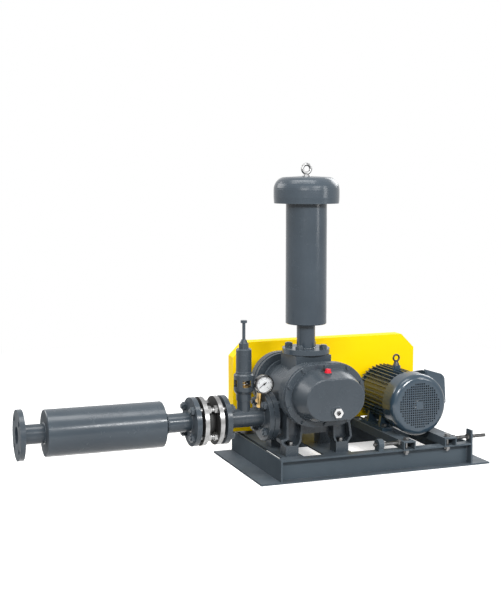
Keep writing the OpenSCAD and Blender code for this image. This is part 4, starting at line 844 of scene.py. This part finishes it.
def buildBelts():
    low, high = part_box("blower_pulley")
    middleY = (low.y + high.y) / 2
    path, centres = beltPath()
    h, c, flank = vBelt["height"], vBelt["corner"], vBelt["flank"]
    inner, outer = vBelt["inner"], vBelt["outer"]
    half = [(0.0, inner - c), (c, inner + flank), (h - c, outer - flank), (h, outer - c)]
    section = half + [(up, -side) for up, side in reversed(half)]
    parts = []
    for y in (middleY - vBelt["pitch"] / 2, middleY + vBelt["pitch"] / 2):
        rings = []
        for at, out in path:
            rings.append([(at.x + out.x * up, y + side, at.y + out.y * up) for up, side in section])
        parts.append(joinRings(rings, True))
    piece = addPiece("vBelts", combine(parts), blackRubber, None, autoAngle=0.5)
    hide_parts("v_belts")
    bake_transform(piece)


# spring of the relief valve

valveSpring = {
    "wire": 0.0016, "turns": 9, "steps": 28, "sides": 10,
    "closed": 2.45,  # rise of an end turn, in radii of the wire
    "lift": 0.008,
}


def buildValveSpring():
    low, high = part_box("relief_spring")
    centre = (low + high) / 2
    wire, turns = valveSpring["wire"], valveSpring["turns"]
    radius = (high.x - low.x) / 2 - wire
    length = high.z - low.z
    rise = valveSpring["closed"] * wire  # of the first and the last turn
    gap = (length - 2 * wire - 2 * rise) / (turns - 2)  # of each turn between them
    rings = []
    for i in range(turns * valveSpring["steps"] + 1):
        t = i / valveSpring["steps"]
        closed = min(t, 1.0) + max(t - turns + 1, 0.0)
        z = low.z + wire + rise * closed + gap * min(max(t - 1.0, 0.0), turns - 2)
        a = 2 * math.pi * t
        ring = []
        for b in roundAngles(valveSpring["sides"]):
            r = radius + wire * math.cos(b)
            ring.append((centre.x + r * math.cos(a), centre.y + r * math.sin(a), z + wire * math.sin(b)))
        rings.append(ring)
    piece = addPiece("valveSpring", joinRings(rings, False), bareSteel, "skid", autoAngle=0.9)
    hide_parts("relief_spring")
    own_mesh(piece)


buildBelts()
buildValveSpring()
print("belts and valve spring swept")


# stage and light

pureWhite = (1.0, 1.0, 1.0, 1.0)
stage = {
    "size": 30.0, "floor": (0.90, 0.90, 0.90, 1.0), "bounce": (0.22, 0.22, 0.22, 1.0), "glow": 0.50,
    "world": 0.38, "centre": (-0.35, 0.25, 0.0), "plain": 1.1, "white": 2.6,
}


def seenDirectly(tree):
    path = addNode(tree, "LightPath").outputs
    seen = calc(tree, "MAXIMUM", path["Is Camera Ray"], path["Is Glossy Ray"])
    return calc(tree, "MAXIMUM", seen, path["Is Transmission Ray"])


def buildFloor():
    mesh = bpy.data.meshes.new("floor")
    s = stage["size"]
    mesh.from_pydata([(-s, -s, 0), (s, -s, 0), (s, s, 0), (-s, s, 0)], [], [(0, 1, 2, 3)])
    floor = bpy.data.objects.new("floor", mesh)
    scene.collection.objects.link(floor)
    material, tree, surface = newMaterial("paleFloor", {
        "Base Color": stage["floor"], "Roughness": 0.9, "Specular IOR Level": 0.0,
    })
    # the floor brightens to the backdrop's white away from the object, so no horizon shows
    away = addNode(tree, "VectorMath", {"operation": "DISTANCE"}, {0: objectPlace(tree), 1: stage["centre"]})
    far = remap(tree, away.outputs["Value"], stage["plain"], stage["white"])
    glow = addNode(tree, "Emission", None, {"Color": pureWhite, "Strength": stage["glow"]})
    both = addNode(tree, "AddShader", None, {0: surface.outputs[0], 1: glow.outputs[0]})
    white = addNode(tree, "Emission", None, {"Color": pureWhite, "Strength": 1.0})
    backdrop = addNode(tree, "MixShader", None, {0: far, 1: both.outputs[0], 2: white.outputs[0]})
    # light that bounces off the floor onto the object is dimmer than what the camera sees
    dim = addNode(tree, "BsdfDiffuse", None, {"Color": stage["bounce"]})
    mix = addNode(tree, "MixShader", None, {0: seenDirectly(tree), 1: dim.outputs[0], 2: backdrop.outputs[0]})
    feed(tree, mix.outputs[0], tree.nodes["Material Output"].inputs["Surface"])
    mesh.materials.append(material)


def buildWorld():
    world = bpy.data.worlds.new("studio")
    scene.world = world
    world.use_nodes = True
    tree = world.node_tree
    back = tree.nodes["Background"]
    back.inputs["Color"].default_value = pureWhite
    feed(tree, remap(tree, seenDirectly(tree), 0.0, 1.0, stage["world"], 1.0), back.inputs["Strength"])


lamps = {
    "overhead": {"place": (-0.6, -0.2, 2.6), "aim": (-0.35, 0.15, 0.3), "size": (2.0, 0.8), "power": 34.0},
    "frontLeft": {"place": (-1.75, -2.5, 1.75), "aim": (-0.6, 0.1, 0.3), "size": (1.3, 0.3), "power": 56.0},
    "frontRight": {"place": (0.35, -2.6, 1.75), "aim": (-0.1, 0.1, 0.3), "size": (1.3, 0.3), "power": 50.0},
    "rearLeft": {"place": (-2.8, 2.5, 2.2), "aim": (-0.4, 0.3, 0.35), "size": (2.4, 1.6), "power": 60.0},
    "rearRight": {"place": (2.8, 1.9, 2.3), "aim": (-0.2, 0.3, 0.35), "size": (2.4, 1.6), "power": 58.0},
    "rightSide": {"place": (1.7, -1.9, 1.3), "aim": (-0.1, 0.1, 0.4), "size": (0.6, 1.4), "power": 18.0},
}


def buildLamps():
    for name, lamp in lamps.items():
        data = bpy.data.lights.new(name, "AREA")
        data.shape = "RECTANGLE"
        data.size, data.size_y = lamp["size"]
        data.energy = lamp["power"]
        obj = bpy.data.objects.new(name, data)
        obj.location = lamp["place"]
        aim = Vector(lamp["aim"]) - Vector(lamp["place"])
        obj.rotation_euler = aim.to_track_quat("-Z", "Y").to_euler()
        scene.collection.objects.link(obj)


buildFloor()
buildWorld()
buildLamps()
print("stage and lamps ready")
